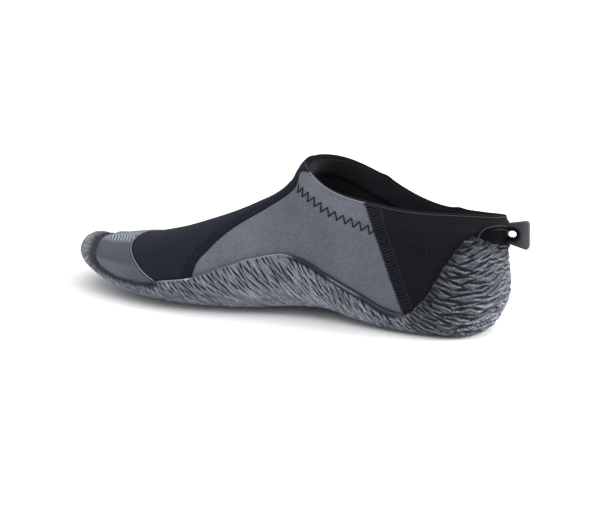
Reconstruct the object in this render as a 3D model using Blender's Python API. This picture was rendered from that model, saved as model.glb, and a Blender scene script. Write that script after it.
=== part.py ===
"""Low-cut neoprene wetsuit bootie for the right foot, with a moulded rubber cup sole.

Axes: +X towards the toe, +Y towards the inner (medial) side of the foot, +Z up.
The origin is the middle of the heel's flat spot, on the floor.

One function gives the outside of the upper. Its columns stand round the foot: a fan about the
heel pole, straight cross sections along the foot, and a fan about the toe pole. Each column
climbs from the feather edge under the foot, round the widest level, to the collar or the ridge.
The sole, insole, toe cap, piping and pull tab are all worked out from that function.
"""
import functools
import math

import bmesh
import bpy
import numpy as np
from mathutils import Vector

OBJECT_NAME = "wetsuit_bootie"
MM = 0.001


def table(columns, *rows):
    """A short table with named columns."""
    return np.array(list(rows), dtype=[(name, float) for name in columns.split()])


# Driving sizes in millimetres. Stations are measured from the back of the heel towards the toe.
HEEL_POLE = 34.0
THROAT = 131.0
TOE_POLE = 238.0
FIT_GAP = 0.35
WELD = 0.01

# Plan of the upper at its widest level, as half widths on either side of the foot's axis.
OUTLINE = table(
    "station medial lateral",
    (2.5, 0.0, 0.0),
    (7.5, 17.0, 17.5),
    (18.5, 27.3, 28.0),
    (34.0, 31.8, 33.0),
    (60.0, 32.3, 34.5),
    (88.0, 30.0, 36.5),
    (114.0, 28.5, 39.5),
    (140.0, 31.0, 43.5),
    (165.0, 37.5, 47.5),
    (188.0, 42.3, 48.8),
    (208.0, 42.6, 46.5),
    (226.0, 40.4, 42.2),
    (241.0, 35.6, 36.6),
    (254.0, 28.6, 28.6),
    (264.0, 20.0, 18.6),
    (270.0, 10.0, 7.6),
    (271.6, 1.4, -1.4),
)

# Top edge of the collar.
COLLAR = table(
    "station half_width medial_height lateral_height",
    (5.5, 0.0, 71.8, 71.8),
    (9.0, 8.0, 72.6, 71.2),
    (15.5, 13.2, 73.2, 70.2),
    (27.0, 18.0, 73.6, 68.6),
    (43.0, 22.3, 73.8, 67.4),
    (64.0, 26.3, 74.8, 71.2),
    (84.0, 28.0, 77.4, 81.2),
    (99.0, 26.7, 79.6, 87.4),
    (112.0, 23.0, 83.2, 91.6),
    (122.0, 16.0, 87.8, 93.8),
    (128.6, 7.0, 91.0, 93.8),
    (131.0, 0.0, 92.4, 92.4),
)

# Ridge of the instep and the vamp, in front of the throat.
RIDGE = table(
    "station height",
    (131.0, 92.4),
    (134.0, 86.6),
    (138.0, 79.6),
    (148.0, 70.4),
    (160.0, 63.4),
    (172.0, 56.6),
    (192.0, 46.8),
    (215.0, 37.0),
    (238.0, 30.6),
    (260.0, 27.6),
)

# Sideways place of the ridge, over the big toe's side of the foot.
SPINE = table("station offset", (34.0, 0.0), (105.0, 0.0), (165.0, 3.0), (238.0, 2.0))

# Underside of the sole and its thickness. Both ends of each flat spot are zero.
BOTTOM = table(
    "station medial middle lateral thickness",
    (6.0, 0.0, 0.0, 0.0, 6.0),
    (62.0, 0.0, 0.0, 0.0, 6.0),
    (88.0, 3.2, 1.6, 0.8, 5.2),
    (108.0, 7.0, 4.0, 2.0, 5.0),
    (130.0, 5.6, 3.4, 1.6, 5.0),
    (152.0, 3.0, 1.0, 1.2, 5.2),
    (168.0, 2.4, 0.0, 1.6, 5.2),
    (206.0, 2.4, 0.0, 1.8, 5.0),
    (228.0, 4.2, 2.4, 3.8, 4.6),
    (246.0, 7.0, 5.8, 6.8, 4.2),
    (260.0, 10.4, 9.4, 10.4, 4.0),
    (273.0, 14.2, 12.8, 14.2, 4.0),
)

# Cross sections: height of the widest level above the sole's floor, how far out the feather edge
# stands, and how full the side and the top are.
SECTION = table(
    "station widest feather side_fullness top_fullness",
    (2.5, 26.0, 0.68, 0.45, 0.30),
    (30.0, 24.0, 0.78, 0.45, 0.30),
    (62.0, 20.0, 0.78, 0.45, 0.30),
    (110.0, 22.0, 0.74, 0.45, 0.32),
    (131.0, 20.0, 0.74, 0.45, 0.40),
    (160.0, 15.0, 0.75, 0.42, 0.46),
    (192.0, 10.0, 0.76, 0.46, 0.56),
    (238.0, 6.0, 0.77, 0.55, 0.60),
    (271.6, 3.0, 0.78, 0.48, 0.50),
)

# Lean of the wall at its top edge: upright round the heel, level along the ridge.
TOP_LEAN = table(
    "station degrees",
    (2.5, 4.0),
    (34.0, 10.0),
    (84.0, 8.0),
    (108.0, 24.0),
    (122.0, 46.0),
    (131.0, 68.0),
    (142.0, 90.0),
    (238.0, 90.0),
)

# Upper edge of the rubber: heel counter, notch, arch wing and toe rim.
RUBBER_EDGE = table(
    "station height",
    (2.5, 55.0),
    (8.0, 58.5),
    (16.0, 62.0),
    (23.0, 58.6),
    (29.0, 53.5),
    (34.0, 44.5),
    (41.5, 27.5),
    (48.0, 18.5),
    (57.0, 12.4),
    (67.0, 13.4),
    (84.0, 20.5),
    (106.0, 30.2),
    (123.0, 38.6),
    (134.0, 40.6),
    (150.0, 35.8),
    (168.0, 29.2),
    (189.0, 20.8),
    (205.0, 15.4),
    (222.0, 13.4),
    (240.0, 15.0),
    (255.0, 18.8),
    (264.0, 21.6),
    (271.6, 23.4),
)

# Walls and edges.
WALL = 3.0
HEM_WALL = 4.6
HEM_DEPTH = 12.0
HEM_BLEND = 3.0
HEM_CROWN = 0.9
RUBBER_WALL = 2.2
TOE_RIM_WALL = 1.8
RIB_DEPTH = 0.55
RIB_SPACING = 2.9
HEEL_RIB_END = 52.0
INSOLE_THICKNESS = 3.6
CAP_THICKNESS = 1.2
CAP_LIFT = 0.5
CAP_CLEARANCE = 0.014
CAP_SEAM_FOOT = 209.0
PIPING_RADIUS = 0.8
WING_WEB = 1.1
WING_RIM = 2.4
WING_END = 18.6
WING_END_HEIGHT = 1.5
WING_TOP = 68.4
WING_FALL = 8
WING_WEB_SHARE = 0.6
WING_CLEARANCE = 0.012
FIN_THICKNESS = 5.0
FIN_WEB = 2.4
FIN_REACH = -9.4
FIN_TIP_LOW, FIN_TIP_HIGH = 54.4, 70.6
FIN_CORNER = 2.2
FIN_ROOT_LOW, FIN_ROOT_HIGH = 56.4, 67.6
FIN_ROOT_LAP = 0.44
HOLE_STATION, HOLE_HEIGHT, HOLE_RADIUS = -0.3, 61.6, 2.7
DISH_RADIUS = 5.2

# Divisions of the surfaces. Shares run from 0 to 1, up a column or out along the sole.
FLAT_SHARE = 0.5
WIDEST_SHARE = 0.25
UNDERSIDE_SHARES = (0.0, FLAT_SHARE, 0.8, 1.0)
FLOOR_SHARES = (0.5, 0.0)
INSOLE_SHARES = (0.0, 0.5, 1.0)
FAN_STEPS = 6
REAR_STEPS, FRONT_STEPS = 12, 14
REAR_CROWDING = 1.25
EDGE_ROWS, TOP_ROWS = 5, 7
CAP_STEPS, CAP_ROWS = 8, 6
WING_STEPS = 7
CORNER_STEPS = 4
WALL_ROWS = 8
RING_SAMPLES = 24
CUTTER_SIDES = 20
SHARP_DEGREES = 40
SLOPE_STEP = 0.5
NORMAL_WALK, NORMAL_SHARE = 0.4, 0.004


def smooth(rows, name, station):
    """Value of a table's column at a station, on a smooth curve that never overshoots its rows."""
    x = rows["station"]
    y = rows[name]
    gap = np.diff(x)
    rise = np.diff(y) / gap
    slope = np.zeros(len(x))
    slope[0], slope[-1] = rise[0], rise[-1]
    for i in range(1, len(x) - 1):
        if rise[i - 1] * rise[i] > 0:
            left = 2 * gap[i] + gap[i - 1]
            right = gap[i] + 2 * gap[i - 1]
            slope[i] = (left + right) / (left / rise[i - 1] + right / rise[i])
    station = min(max(station, x[0]), x[-1])
    i = min(int(np.searchsorted(x, station, side="right")) - 1, len(gap) - 1)
    t = (station - x[i]) / gap[i]
    return (
        y[i] * (1 + 2 * t) * (1 - t) ** 2
        + gap[i] * slope[i] * t * (1 - t) ** 2
        + y[i + 1] * t * t * (3 - 2 * t)
        + gap[i] * slope[i + 1] * t * t * (t - 1)
    )


def closed_curve(points):
    """Dense closed curve through points, smooth in slope and bend."""
    points = np.array(points, float)
    count = len(points)
    after = np.roll(points, -1, axis=0)
    gap = np.linalg.norm((after - points)[:, :2], axis=1)
    rise = (after - points) / gap[:, None]
    matrix = np.zeros((count, count))
    for i in range(count):
        matrix[i, i - 1] = gap[i - 1]
        matrix[i, i] = 2 * (gap[i - 1] + gap[i])
        matrix[i, (i + 1) % count] = gap[i]
    bend = np.linalg.solve(matrix, 6 * (rise - np.roll(rise, 1, axis=0)))
    curve = []
    for i in range(count):
        j = (i + 1) % count
        for t in np.linspace(0, 1, RING_SAMPLES, endpoint=False):
            arch = (t**3 - t) * bend[j] + ((1 - t) ** 3 - (1 - t)) * bend[i]
            curve.append((1 - t) * points[i] + t * points[j] + gap[i] ** 2 / 6 * arch)
    curve.append(curve[0])
    return np.array(curve)


def outline_ring():
    """Plan of the upper: out along the inner side and back along the outer side."""
    inner = [(row["station"], row["medial"]) for row in OUTLINE]
    outer = [(row["station"], -row["lateral"]) for row in OUTLINE[-2:0:-1]]
    return closed_curve(inner + outer)


def collar_ring():
    """Top edge of the collar, with heights."""
    inner = [(row["station"], row["half_width"], row["medial_height"]) for row in COLLAR]
    outer = [(row["station"], -row["half_width"], row["lateral_height"]) for row in COLLAR[-2:0:-1]]
    return closed_curve(inner + outer)


OUTLINE_RING = outline_ring()
COLLAR_RING = collar_ring()

# Walk round the foot: each side runs over the heel fan, the straight stations and the toe fan.
HEEL_WALK = HEEL_POLE * math.pi / 2
BODY_WALK = TOE_POLE - HEEL_POLE
TOE_WALK = (OUTLINE["station"][-1] - TOE_POLE) * math.pi / 2
SIDE_WALK = HEEL_WALK + BODY_WALK + TOE_WALK


def stand(walk):
    """Base point, outward direction and side of the column at a place on the walk."""
    walk = walk % (2 * SIDE_WALK)
    side = 1.0 if walk <= SIDE_WALK else -1.0
    along = walk if side > 0 else 2 * SIDE_WALK - walk
    if along < HEEL_WALK:
        angle = along / HEEL_WALK * math.pi / 2
        base = (HEEL_POLE, smooth(SPINE, "offset", HEEL_POLE))
        direction = (-math.cos(angle), side * math.sin(angle))
    elif along <= HEEL_WALK + BODY_WALK:
        station = HEEL_POLE + along - HEEL_WALK
        base = (station, smooth(SPINE, "offset", station))
        direction = (0.0, side)
    else:
        angle = (along - HEEL_WALK - BODY_WALK) / TOE_WALK * math.pi / 2
        base = (TOE_POLE, smooth(SPINE, "offset", TOE_POLE))
        direction = (math.sin(angle), side * math.cos(angle))
    return np.array(base), np.array(direction), side


def reach(ring, base, direction):
    """Where a column's ray meets a ring: its distance and the ring's own values there."""
    offset = ring[:, :2] - base
    along = offset @ direction
    across = offset @ np.array((-direction[1], direction[0]))
    for i in range(len(ring) - 1):
        if across[i] * across[i + 1] <= 0 and across[i] != across[i + 1]:
            t = across[i] / (across[i] - across[i + 1])
            distance = (1 - t) * along[i] + t * along[i + 1]
            if distance > 0:
                return distance, (1 - t) * ring[i] + t * ring[i + 1]
    return None


def bottom_height(station, side, share):
    """Underside of the sole, share being 0 on the axis and 1 at the feather edge."""
    middle = smooth(BOTTOM, "middle", station)
    edge = smooth(BOTTOM, "medial" if side > 0 else "lateral", station)
    outward = max(share - FLAT_SHARE, 0.0) / (1 - FLAT_SHARE)
    return middle + (edge - middle) * outward**2


@functools.lru_cache(maxsize=None)
def column(walk):
    """Sizes of one column: where it stands, its foot, its widest level and its top."""
    base, direction, side = stand(walk)
    wide, edge_point = reach(OUTLINE_RING, base, direction)
    station = edge_point[0]
    floor = bottom_height(station, side, 1.0) + smooth(BOTTOM, "thickness", station)
    foot = np.array((wide * smooth(SECTION, "feather", station), floor + FIT_GAP))
    widest = np.array((wide, floor + smooth(SECTION, "widest", station)))
    open_top = base[0] < THROAT
    if open_top:
        inward, rim_point = reach(COLLAR_RING, base, direction)
        top = np.array((inward, rim_point[2]))
        lean = math.radians(smooth(TOP_LEAN, "degrees", station))
    else:
        top = np.array((0.0, smooth(RIDGE, "height", base[0])))
        lean = math.radians(smooth(TOP_LEAN, "degrees", base[0]))
    slope = 0.0
    if base[0] >= TOE_POLE:
        slope = ridge_slope(TOE_POLE) * direction[0]
    span = widest - top
    handle = smooth(SECTION, "top_fullness", station) * math.hypot(
        span[0] * math.sin(lean), span[1] * math.cos(lean)
    )
    high = top + handle * np.array((math.sin(lean), slope - math.cos(lean)))
    low = widest + np.array((0.0, smooth(SECTION, "side_fullness", station) * (top[1] - widest[1])))
    return {
        "base": base,
        "direction": direction,
        "side": side,
        "station": station,
        "foot": foot,
        "widest": widest,
        "low": low,
        "high": high,
        "top": top,
        "open_top": open_top,
    }


def ridge_slope(station):
    """Fall of the ridge line towards the toe."""
    ahead = smooth(RIDGE, "height", station + SLOPE_STEP)
    behind = smooth(RIDGE, "height", station - SLOPE_STEP)
    return (ahead - behind) / (2 * SLOPE_STEP)


def profile(c, share):
    """Distance out and height on a column, share being 0 at the feather edge and 1 at the top."""
    if share <= WIDEST_SHARE:
        turn = share / WIDEST_SHARE * math.pi / 2
        out = c["foot"][0] + (c["widest"][0] - c["foot"][0]) * math.sin(turn)
        height = c["foot"][1] + (c["widest"][1] - c["foot"][1]) * (1 - math.cos(turn))
        return np.array((out, height))
    t = (share - WIDEST_SHARE) / (1 - WIDEST_SHARE)
    return (
        c["widest"] * (1 - t) ** 3
        + 3 * c["low"] * t * (1 - t) ** 2
        + 3 * c["high"] * t * t * (1 - t)
        + c["top"] * t**3
    )


def surface(walk, share):
    """Point on the outside of the upper."""
    c = column(walk)
    out, height = profile(c, share)
    place = c["base"] + c["direction"] * out
    return np.array((place[0], place[1], height))


def normal(walk, share):
    """Outward normal of the upper's outside."""
    c = column(walk)
    if share + NORMAL_SHARE > 1.0 and not c["open_top"]:
        n = np.array((-ridge_slope(c["base"][0]), 0.0, 1.0))
        return n / np.linalg.norm(n)
    up = surface(walk, min(share + NORMAL_SHARE, 1.0)) - surface(walk, max(share - NORMAL_SHARE, 0.0))
    ahead, behind = walk + NORMAL_WALK, walk - NORMAL_WALK
    if column(ahead)["open_top"] != c["open_top"]:
        ahead = walk
    if column(behind)["open_top"] != c["open_top"]:
        behind = walk
    round_foot = surface(ahead, share) - surface(behind, share)
    n = np.cross(up, round_foot)
    n = n / np.linalg.norm(n)
    rise = -1.0 if share < 0.5 * WIDEST_SHARE else 0.3
    outward = np.array((c["direction"][0], c["direction"][1], rise))
    return n if n @ outward > 0 else -n


def share_at(walk, height):
    """Share of a column at which it passes a height, found by halving."""
    low, high = 0.0, 1.0
    while high - low > 1e-9:
        middle = 0.5 * (low + high)
        if profile(column(walk), middle)[1] < height:
            low = middle
        else:
            high = middle
    return low


def rubber_share(walk):
    """Share of a column at which the rubber's upper edge lies."""
    return share_at(walk, smooth(RUBBER_EDGE, "height", column(walk)["station"]))


def column_walks():
    """Places of the columns round the foot, closer together at the throat and the toe cap."""
    stations = [HEEL_WALK * i / FAN_STEPS for i in range(FAN_STEPS)]
    rear, front = THROAT - HEEL_POLE, TOE_POLE - THROAT
    for i in range(REAR_STEPS):
        stations.append(HEEL_WALK + rear * (1 - (1 - i / REAR_STEPS) ** REAR_CROWDING))
    for i in range(FRONT_STEPS):
        even = i / FRONT_STEPS
        crowded = 0.5 - 0.5 * math.cos(math.pi * even)
        stations.append(HEEL_WALK + rear + front * 0.5 * (even + crowded))
    for i in range(FAN_STEPS + 1):
        stations.append(HEEL_WALK + BODY_WALK + TOE_WALK * i / FAN_STEPS)
    return stations + [2 * SIDE_WALK - walk for walk in stations[-2:0:-1]]


WALKS = column_walks()


def rib_walks():
    """Places of the sole's ribs: each step between columns is divided, and its first rib is listed."""
    walks, starts = [], []
    for walk, after in zip(WALKS, WALKS[1:] + [2 * SIDE_WALK]):
        pieces = max(1, round((after - walk) / RIB_SPACING))
        starts.append(len(walks))
        walks += [walk + (after - walk) * k / pieces for k in range(pieces)]
    return walks, starts


def row_shares(walk):
    """Shares of the rows: up to the rubber's edge, then on to the top."""
    edge = rubber_share(walk)
    lower = [edge * i / EDGE_ROWS for i in range(EDGE_ROWS)]
    upper = [edge + (1 - edge) * i / TOP_ROWS for i in range(TOP_ROWS + 1)]
    return lower + upper


def collar_distance(point):
    """Distance of a point from the collar's edge."""
    return float(np.min(np.linalg.norm(COLLAR_RING - point, axis=1)))


def wall_thickness(point):
    """Thickness of the upper: the hem round the collar is a step inwards."""
    depth = (HEM_DEPTH + HEM_BLEND - collar_distance(point)) / HEM_BLEND
    step = min(max(depth, 0.0), 1.0)
    return WALL + (HEM_WALL - WALL) * step * step * (3 - 2 * step)


def to_frame(point):
    """From stations in millimetres to the part's own frame in metres."""
    return Vector(((point[0] - HEEL_POLE) * MM, point[1] * MM, point[2] * MM))


def add_points(mesh, points):
    return [mesh.verts.new(to_frame(p)) for p in points]


def add_strip(mesh, first, second):
    """Triangles between two rows of the same length, all split along the same diagonal."""
    for i in range(len(first) - 1):
        mesh.faces.new((first[i], first[i + 1], second[i + 1]))
        mesh.faces.new((first[i], second[i + 1], second[i]))


def finish(mesh, name, material):
    """Welds a mesh, turns its faces outwards and makes it an object."""
    bmesh.ops.remove_doubles(mesh, verts=mesh.verts, dist=WELD * MM)
    bmesh.ops.dissolve_degenerate(mesh, edges=mesh.edges, dist=WELD * MM)
    bmesh.ops.recalc_face_normals(mesh, faces=mesh.faces)
    data = bpy.data.meshes.new(name)
    mesh.to_mesh(data)
    mesh.free()
    data.shade_smooth()
    data.set_sharp_from_angle(angle=math.radians(SHARP_DEGREES))
    data.materials.append(material)
    obj = bpy.data.objects.new(name, data)
    PARTS.objects.link(obj)
    return obj


def make_material(name, colour, roughness):
    material = bpy.data.materials.new(name)
    material.use_nodes = True
    shader = material.node_tree.nodes["Principled BSDF"]
    shader.inputs["Base Color"].default_value = (*colour, 1.0)
    shader.inputs["Roughness"].default_value = roughness
    shader.inputs["Metallic"].default_value = 0.0
    return material


def make_upper(material):
    """Neoprene sock: outside, inside, bottom edge and the rounded rim of the collar."""
    mesh = bmesh.new()
    strips = []
    for walk in WALKS:
        outside, inside, crown = [], [], []
        for share in row_shares(walk):
            point = surface(walk, share)
            outside.append(point)
            inside.append(point - normal(walk, share) * wall_thickness(point))
        if column(walk)["base"][0] < THROAT + WELD:
            crown = [0.5 * (outside[-1] + inside[-1]) + np.array((0.0, 0.0, HEM_CROWN))]
        strips.append([add_points(mesh, points) for points in (outside, crown, inside)])
    for (outside, crown, inside), after in zip(strips, strips[1:] + strips[:1]):
        next_outside, next_crown, next_inside = after
        add_strip(mesh, outside, next_outside)
        add_strip(mesh, inside, next_inside)
        mesh.faces.new((inside[0], next_inside[0], next_outside[0], outside[0]))
        if crown and next_crown:
            rim = [outside[-1]] + crown + [inside[-1]]
            next_rim = [next_outside[-1]] + next_crown + [next_inside[-1]]
            add_strip(mesh, rim, next_rim)
    return finish(mesh, "upper", material)


def rubber_thickness(walk, share):
    """Rubber outside the upper: thick under the foot's edge, thin up the wall and at the toe."""
    c = column(walk)
    forward = min(max((c["station"] - CAP_SEAM_FOOT) / (TOE_POLE - CAP_SEAM_FOOT), 0.0), 1.0)
    wall = RUBBER_WALL + (TOE_RIM_WALL - RUBBER_WALL) * forward
    base = smooth(BOTTOM, "thickness", c["station"])
    low = max(1 - share / WIDEST_SHARE, 0.0)
    return wall + (base - wall) * low * low


def rib(index, row, station):
    """Raised and sunken lines of the sole's side: level round the heel, leaning along the foot."""
    if row in (0, WALL_ROWS):
        return 0.0
    line = row if station < HEEL_RIB_END else index + row
    return RIB_DEPTH if line % 2 else -RIB_DEPTH


def sole_foot(walk, share):
    """Point of the underside between the axis and the feather edge."""
    c = column(walk)
    place = c["base"] + c["direction"] * c["foot"][0] * share
    station = c["base"][0] + (c["station"] - c["base"][0]) * share
    return np.array((place[0], place[1], bottom_height(station, c["side"], share)))


def sole_floor(walk, share):
    """Point of the sole's floor, above the underside."""
    point = sole_foot(walk, share)
    station = column(walk)["base"][0] * (1 - share) + column(walk)["station"] * share
    return point + np.array((0.0, 0.0, smooth(BOTTOM, "thickness", station)))


def make_outsole(material):
    """Rubber cup: underside, ribbed wall, rim, inner wall and floor."""
    mesh = bmesh.new()
    underside, inner, floor, walls = [], [], [], []
    for walk in WALKS:
        rows = row_shares(walk)[: EDGE_ROWS + 1]
        underside.append(add_points(mesh, [sole_foot(walk, share) for share in UNDERSIDE_SHARES]))
        inner.append(add_points(mesh, [surface(walk, s) + normal(walk, s) * FIT_GAP for s in rows]))
        floor.append(inner[-1][:1] + add_points(mesh, [sole_floor(walk, share) for share in FLOOR_SHARES]))
    ribs, starts = rib_walks()
    for index, walk in enumerate(ribs):
        edge = rubber_share(walk)
        points = [sole_foot(walk, 1.0)]
        for row in range(1, WALL_ROWS + 1):
            share = edge * row / WALL_ROWS
            out = FIT_GAP + rubber_thickness(walk, share) + rib(index, row, column(walk)["station"])
            points.append(surface(walk, share) + normal(walk, share) * out)
        walls.append(add_points(mesh, points))
    count = len(WALKS)
    for i in range(count):
        j = (i + 1) % count
        add_strip(mesh, underside[i], underside[j])
        add_strip(mesh, inner[i], inner[j])
        add_strip(mesh, floor[i], floor[j])
        end = starts[j] if j else len(walls)
        fine = [k % len(walls) for k in range(starts[i], end + 1)]
        mesh.faces.new([underside[i][-1], underside[j][-1]] + [walls[k][0] for k in reversed(fine)])
        mesh.faces.new([inner[j][-1], inner[i][-1]] + [walls[k][-1] for k in fine])
    half = len(walls) // 2
    for i, wall in enumerate(walls):
        after = walls[(i + 1) % len(walls)]
        for row in range(WALL_ROWS):
            corners = (wall[row], after[row], after[row + 1], wall[row + 1])
            turn = 0 if i < half else 1
            corners = corners[turn:] + corners[:turn]
            mesh.faces.new((corners[0], corners[1], corners[2]))
            mesh.faces.new((corners[0], corners[2], corners[3]))
    return finish(mesh, "outsole", material)


def make_insole(material):
    """Flat sock liner on the sole's floor, inside the upper's bottom edge."""
    mesh = bmesh.new()
    lift = np.array((0.0, 0.0, FIT_GAP))
    rise = np.array((0.0, 0.0, FIT_GAP + INSOLE_THICKNESS))
    strips = []
    for walk in WALKS:
        edge = 1 - 2 * FIT_GAP / column(walk)["foot"][0]
        shares = [edge * k for k in INSOLE_SHARES]
        high = [sole_floor(walk, share) + rise for share in shares]
        low = [sole_floor(walk, share) + lift for share in reversed(shares)]
        strips.append(add_points(mesh, high + low))
    for i, strip in enumerate(strips):
        add_strip(mesh, strip, strips[(i + 1) % len(strips)])
    return finish(mesh, "insole", material)


def cap_seam_share(walk):
    """Share of a column at the toe cap's rear seam: the ridge at the toe pole, the rubber at its foot."""
    c = column(walk)
    if c["base"][0] >= TOE_POLE:
        return 1.0
    back = (TOE_POLE - c["base"][0]) / (TOE_POLE - CAP_SEAM_FOOT)
    edge = rubber_share(walk)
    return edge + (1 - edge) * (1 - math.sqrt(min(back, 1.0)))


def cap_walks():
    """Columns of the toe cap, from its foot on the inner side round the toe to the outer side."""
    back = TOE_POLE - CAP_SEAM_FOOT
    walks = [HEEL_WALK + BODY_WALK - back * (1 - i / CAP_STEPS) ** 2 for i in range(CAP_STEPS)]
    walks += [HEEL_WALK + BODY_WALK + TOE_WALK * i / FAN_STEPS for i in range(FAN_STEPS + 1)]
    return walks + [2 * SIDE_WALK - walk for walk in walks[-2::-1]]


def cap_edges(walk):
    """Shares of the cap's lower and upper edge on a column."""
    low = rubber_share(walk) + CAP_CLEARANCE
    return low, max(cap_seam_share(walk), low + CAP_CLEARANCE)


def make_toe_cap(material):
    """Mesh overlay cut from the upper's outside, between the toe rim and its rear seam."""
    mesh = bmesh.new()
    strips = []
    for walk in cap_walks():
        low, high = cap_edges(walk)
        shares = [low + (high - low) * k / CAP_ROWS for k in range(CAP_ROWS + 1)]
        inside = [surface(walk, s) + normal(walk, s) * CAP_LIFT for s in shares]
        outside = [surface(walk, s) + normal(walk, s) * (CAP_LIFT + CAP_THICKNESS) for s in reversed(shares)]
        strips.append(add_points(mesh, inside + outside))
    for first, second in zip(strips, strips[1:]):
        add_strip(mesh, first + first[:1], second + second[:1])
    mesh.faces.new(strips[0])
    mesh.faces.new(strips[-1])
    return finish(mesh, "toe_cap", material)


def piping_path():
    """Middle line of the bead, beside the toe cap's rear edge all along the seam."""
    walks = cap_walks()
    walks = walks[: CAP_STEPS + 1] + walks[-CAP_STEPS:]
    seam = np.array([surface(walk, cap_edges(walk)[1]) for walk in walks])
    outward = np.array([normal(walk, cap_edges(walk)[1]) for walk in walks])
    beside = np.cross(outward, np.gradient(seam, axis=0))
    beside /= np.linalg.norm(beside, axis=1)[:, None]
    beside *= -np.sign(beside[:, :1])
    return seam + (outward + beside) * (PIPING_RADIUS + CAP_LIFT)


def make_piping(material):
    """Bead along the toe cap's rear seam."""
    path = piping_path()
    curve = bpy.data.curves.new("toe_cap_piping", "CURVE")
    curve.dimensions = "3D"
    curve.bevel_depth = PIPING_RADIUS * MM
    curve.bevel_resolution = 1
    curve.use_fill_caps = True
    spline = curve.splines.new("POLY")
    spline.points.add(len(path) - 1)
    for point, place in zip(spline.points, path):
        point.co = (*to_frame(place), 1.0)
    curve.materials.append(material)
    obj = bpy.data.objects.new("toe_cap_piping", curve)
    PARTS.objects.link(obj)
    return obj


def wing_mesh():
    """Thin web round the heel above the counter, with a raised rim along its upper edge."""
    mesh = bmesh.new()
    radius = HEEL_POLE - OUTLINE["station"][0]
    end = math.acos((HEEL_POLE - WING_END) / radius) / (math.pi / 2) * HEEL_WALK
    strips = []
    for i in range(-WING_STEPS, WING_STEPS + 1):
        walk = end * i / WING_STEPS % (2 * SIDE_WALK)
        low = rubber_share(walk) + WING_CLEARANCE
        end_height = profile(column(walk), low)[1] + WING_END_HEIGHT
        high = share_at(walk, WING_TOP + (end_height - WING_TOP) * abs(i / WING_STEPS) ** WING_FALL)
        web_top = low + WING_WEB_SHARE * (high - low)
        rim_foot = 0.5 * (web_top + high)
        rows = ((low, WING_WEB), (web_top, WING_WEB), (rim_foot, WING_RIM), (high, WING_RIM))
        inside = [surface(walk, s) + normal(walk, s) * FIT_GAP for s, _ in rows]
        outside = [surface(walk, s) + normal(walk, s) * (FIT_GAP + t) for s, t in reversed(rows)]
        strips.append(add_points(mesh, inside + outside))
    for first, second in zip(strips, strips[1:]):
        add_strip(mesh, first + first[:1], second + second[:1])
    mesh.faces.new(strips[0])
    mesh.faces.new(strips[-1])
    return mesh


def fin_outline():
    """Side outline of the fin: root inside the web, flared end with rounded corners."""
    corners = (
        (FIN_REACH + FIN_CORNER, FIN_TIP_HIGH - FIN_CORNER, 90),
        (FIN_REACH + FIN_CORNER, FIN_TIP_LOW + FIN_CORNER, 180),
    )
    points = [(fin_root(FIN_ROOT_HIGH), FIN_ROOT_HIGH)]
    for x, z, start in corners:
        for k in range(CORNER_STEPS + 1):
            angle = math.radians(start + 90 * k / CORNER_STEPS)
            points.append((x + FIN_CORNER * math.cos(angle), z + FIN_CORNER * math.sin(angle)))
    points.append((fin_root(FIN_ROOT_LOW), FIN_ROOT_LOW))
    return points


def fin_root(height):
    """Station of the fin's root at a height, just inside the web's outer face."""
    return surface(0.0, share_at(0.0, height))[0] - FIT_GAP - FIN_ROOT_LAP


def make_cutter(name, radius, depth, across):
    """Round cutter along Y through the fin, centred on the hole."""
    bpy.ops.mesh.primitive_cylinder_add(vertices=CUTTER_SIDES, radius=radius * MM, depth=depth * MM)
    cutter = bpy.context.object
    cutter.name = name
    cutter.rotation_euler = (math.pi / 2, 0, 0)
    cutter.location = to_frame((HOLE_STATION, across, HOLE_HEIGHT))
    for collection in list(cutter.users_collection):
        collection.objects.unlink(cutter)
    CUTTERS.objects.link(cutter)
    cutter.hide_render = True
    cutter.display_type = "WIRE"
    return cutter


def make_pull_tab(material):
    """Moulded fin with a dished web and a lanyard hole, joined to the wings round the heel."""
    tab = finish(wing_mesh(), "pull_tab", material)
    outline = fin_outline()
    mesh = bmesh.new()
    near = add_points(mesh, [(x, 0.5 * FIN_THICKNESS, z) for x, z in outline])
    far = add_points(mesh, [(x, -0.5 * FIN_THICKNESS, z) for x, z in outline])
    mesh.faces.new(near)
    mesh.faces.new(far)
    add_strip(mesh, near + near[:1], far + far[:1])
    fin = finish(mesh, "fin", material)
    PARTS.objects.unlink(fin)
    CUTTERS.objects.link(fin)
    fin.hide_render = True
    fin.display_type = "WIRE"
    dish_depth = 0.5 * (FIN_THICKNESS - FIN_WEB)
    dish_side = 0.5 * FIN_THICKNESS
    cutters = [
        make_cutter("hole_cutter", HOLE_RADIUS, 3 * FIN_THICKNESS, 0.0),
        make_cutter("near_dish_cutter", DISH_RADIUS, 2 * dish_depth, dish_side),
        make_cutter("far_dish_cutter", DISH_RADIUS, 2 * dish_depth, -dish_side),
    ]
    for cutter in cutters:
        cut = fin.modifiers.new(cutter.name, "BOOLEAN")
        cut.operation = "DIFFERENCE"
        cut.object = cutter
    join = tab.modifiers.new("fin", "BOOLEAN")
    join.operation = "UNION"
    join.object = fin
    return tab


for old in list(bpy.data.objects):
    bpy.data.objects.remove(old, do_unlink=True)
PARTS = bpy.data.collections.new(OBJECT_NAME)
CUTTERS = bpy.data.collections.new("cutters")
bpy.context.scene.collection.children.link(PARTS)
bpy.context.scene.collection.children.link(CUTTERS)

make_outsole(make_material("grey_rubber", (0.075, 0.08, 0.088), 0.55))
make_upper(make_material("grey_neoprene", (0.11, 0.115, 0.13), 0.85))
make_insole(make_material("black_foam", (0.012, 0.012, 0.014), 0.9))
make_toe_cap(make_material("grey_mesh", (0.16, 0.165, 0.18), 0.8))
make_piping(make_material("light_piping", (0.2, 0.2, 0.21), 0.7))
make_pull_tab(make_material("black_rubber", (0.02, 0.02, 0.022), 0.45))
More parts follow.
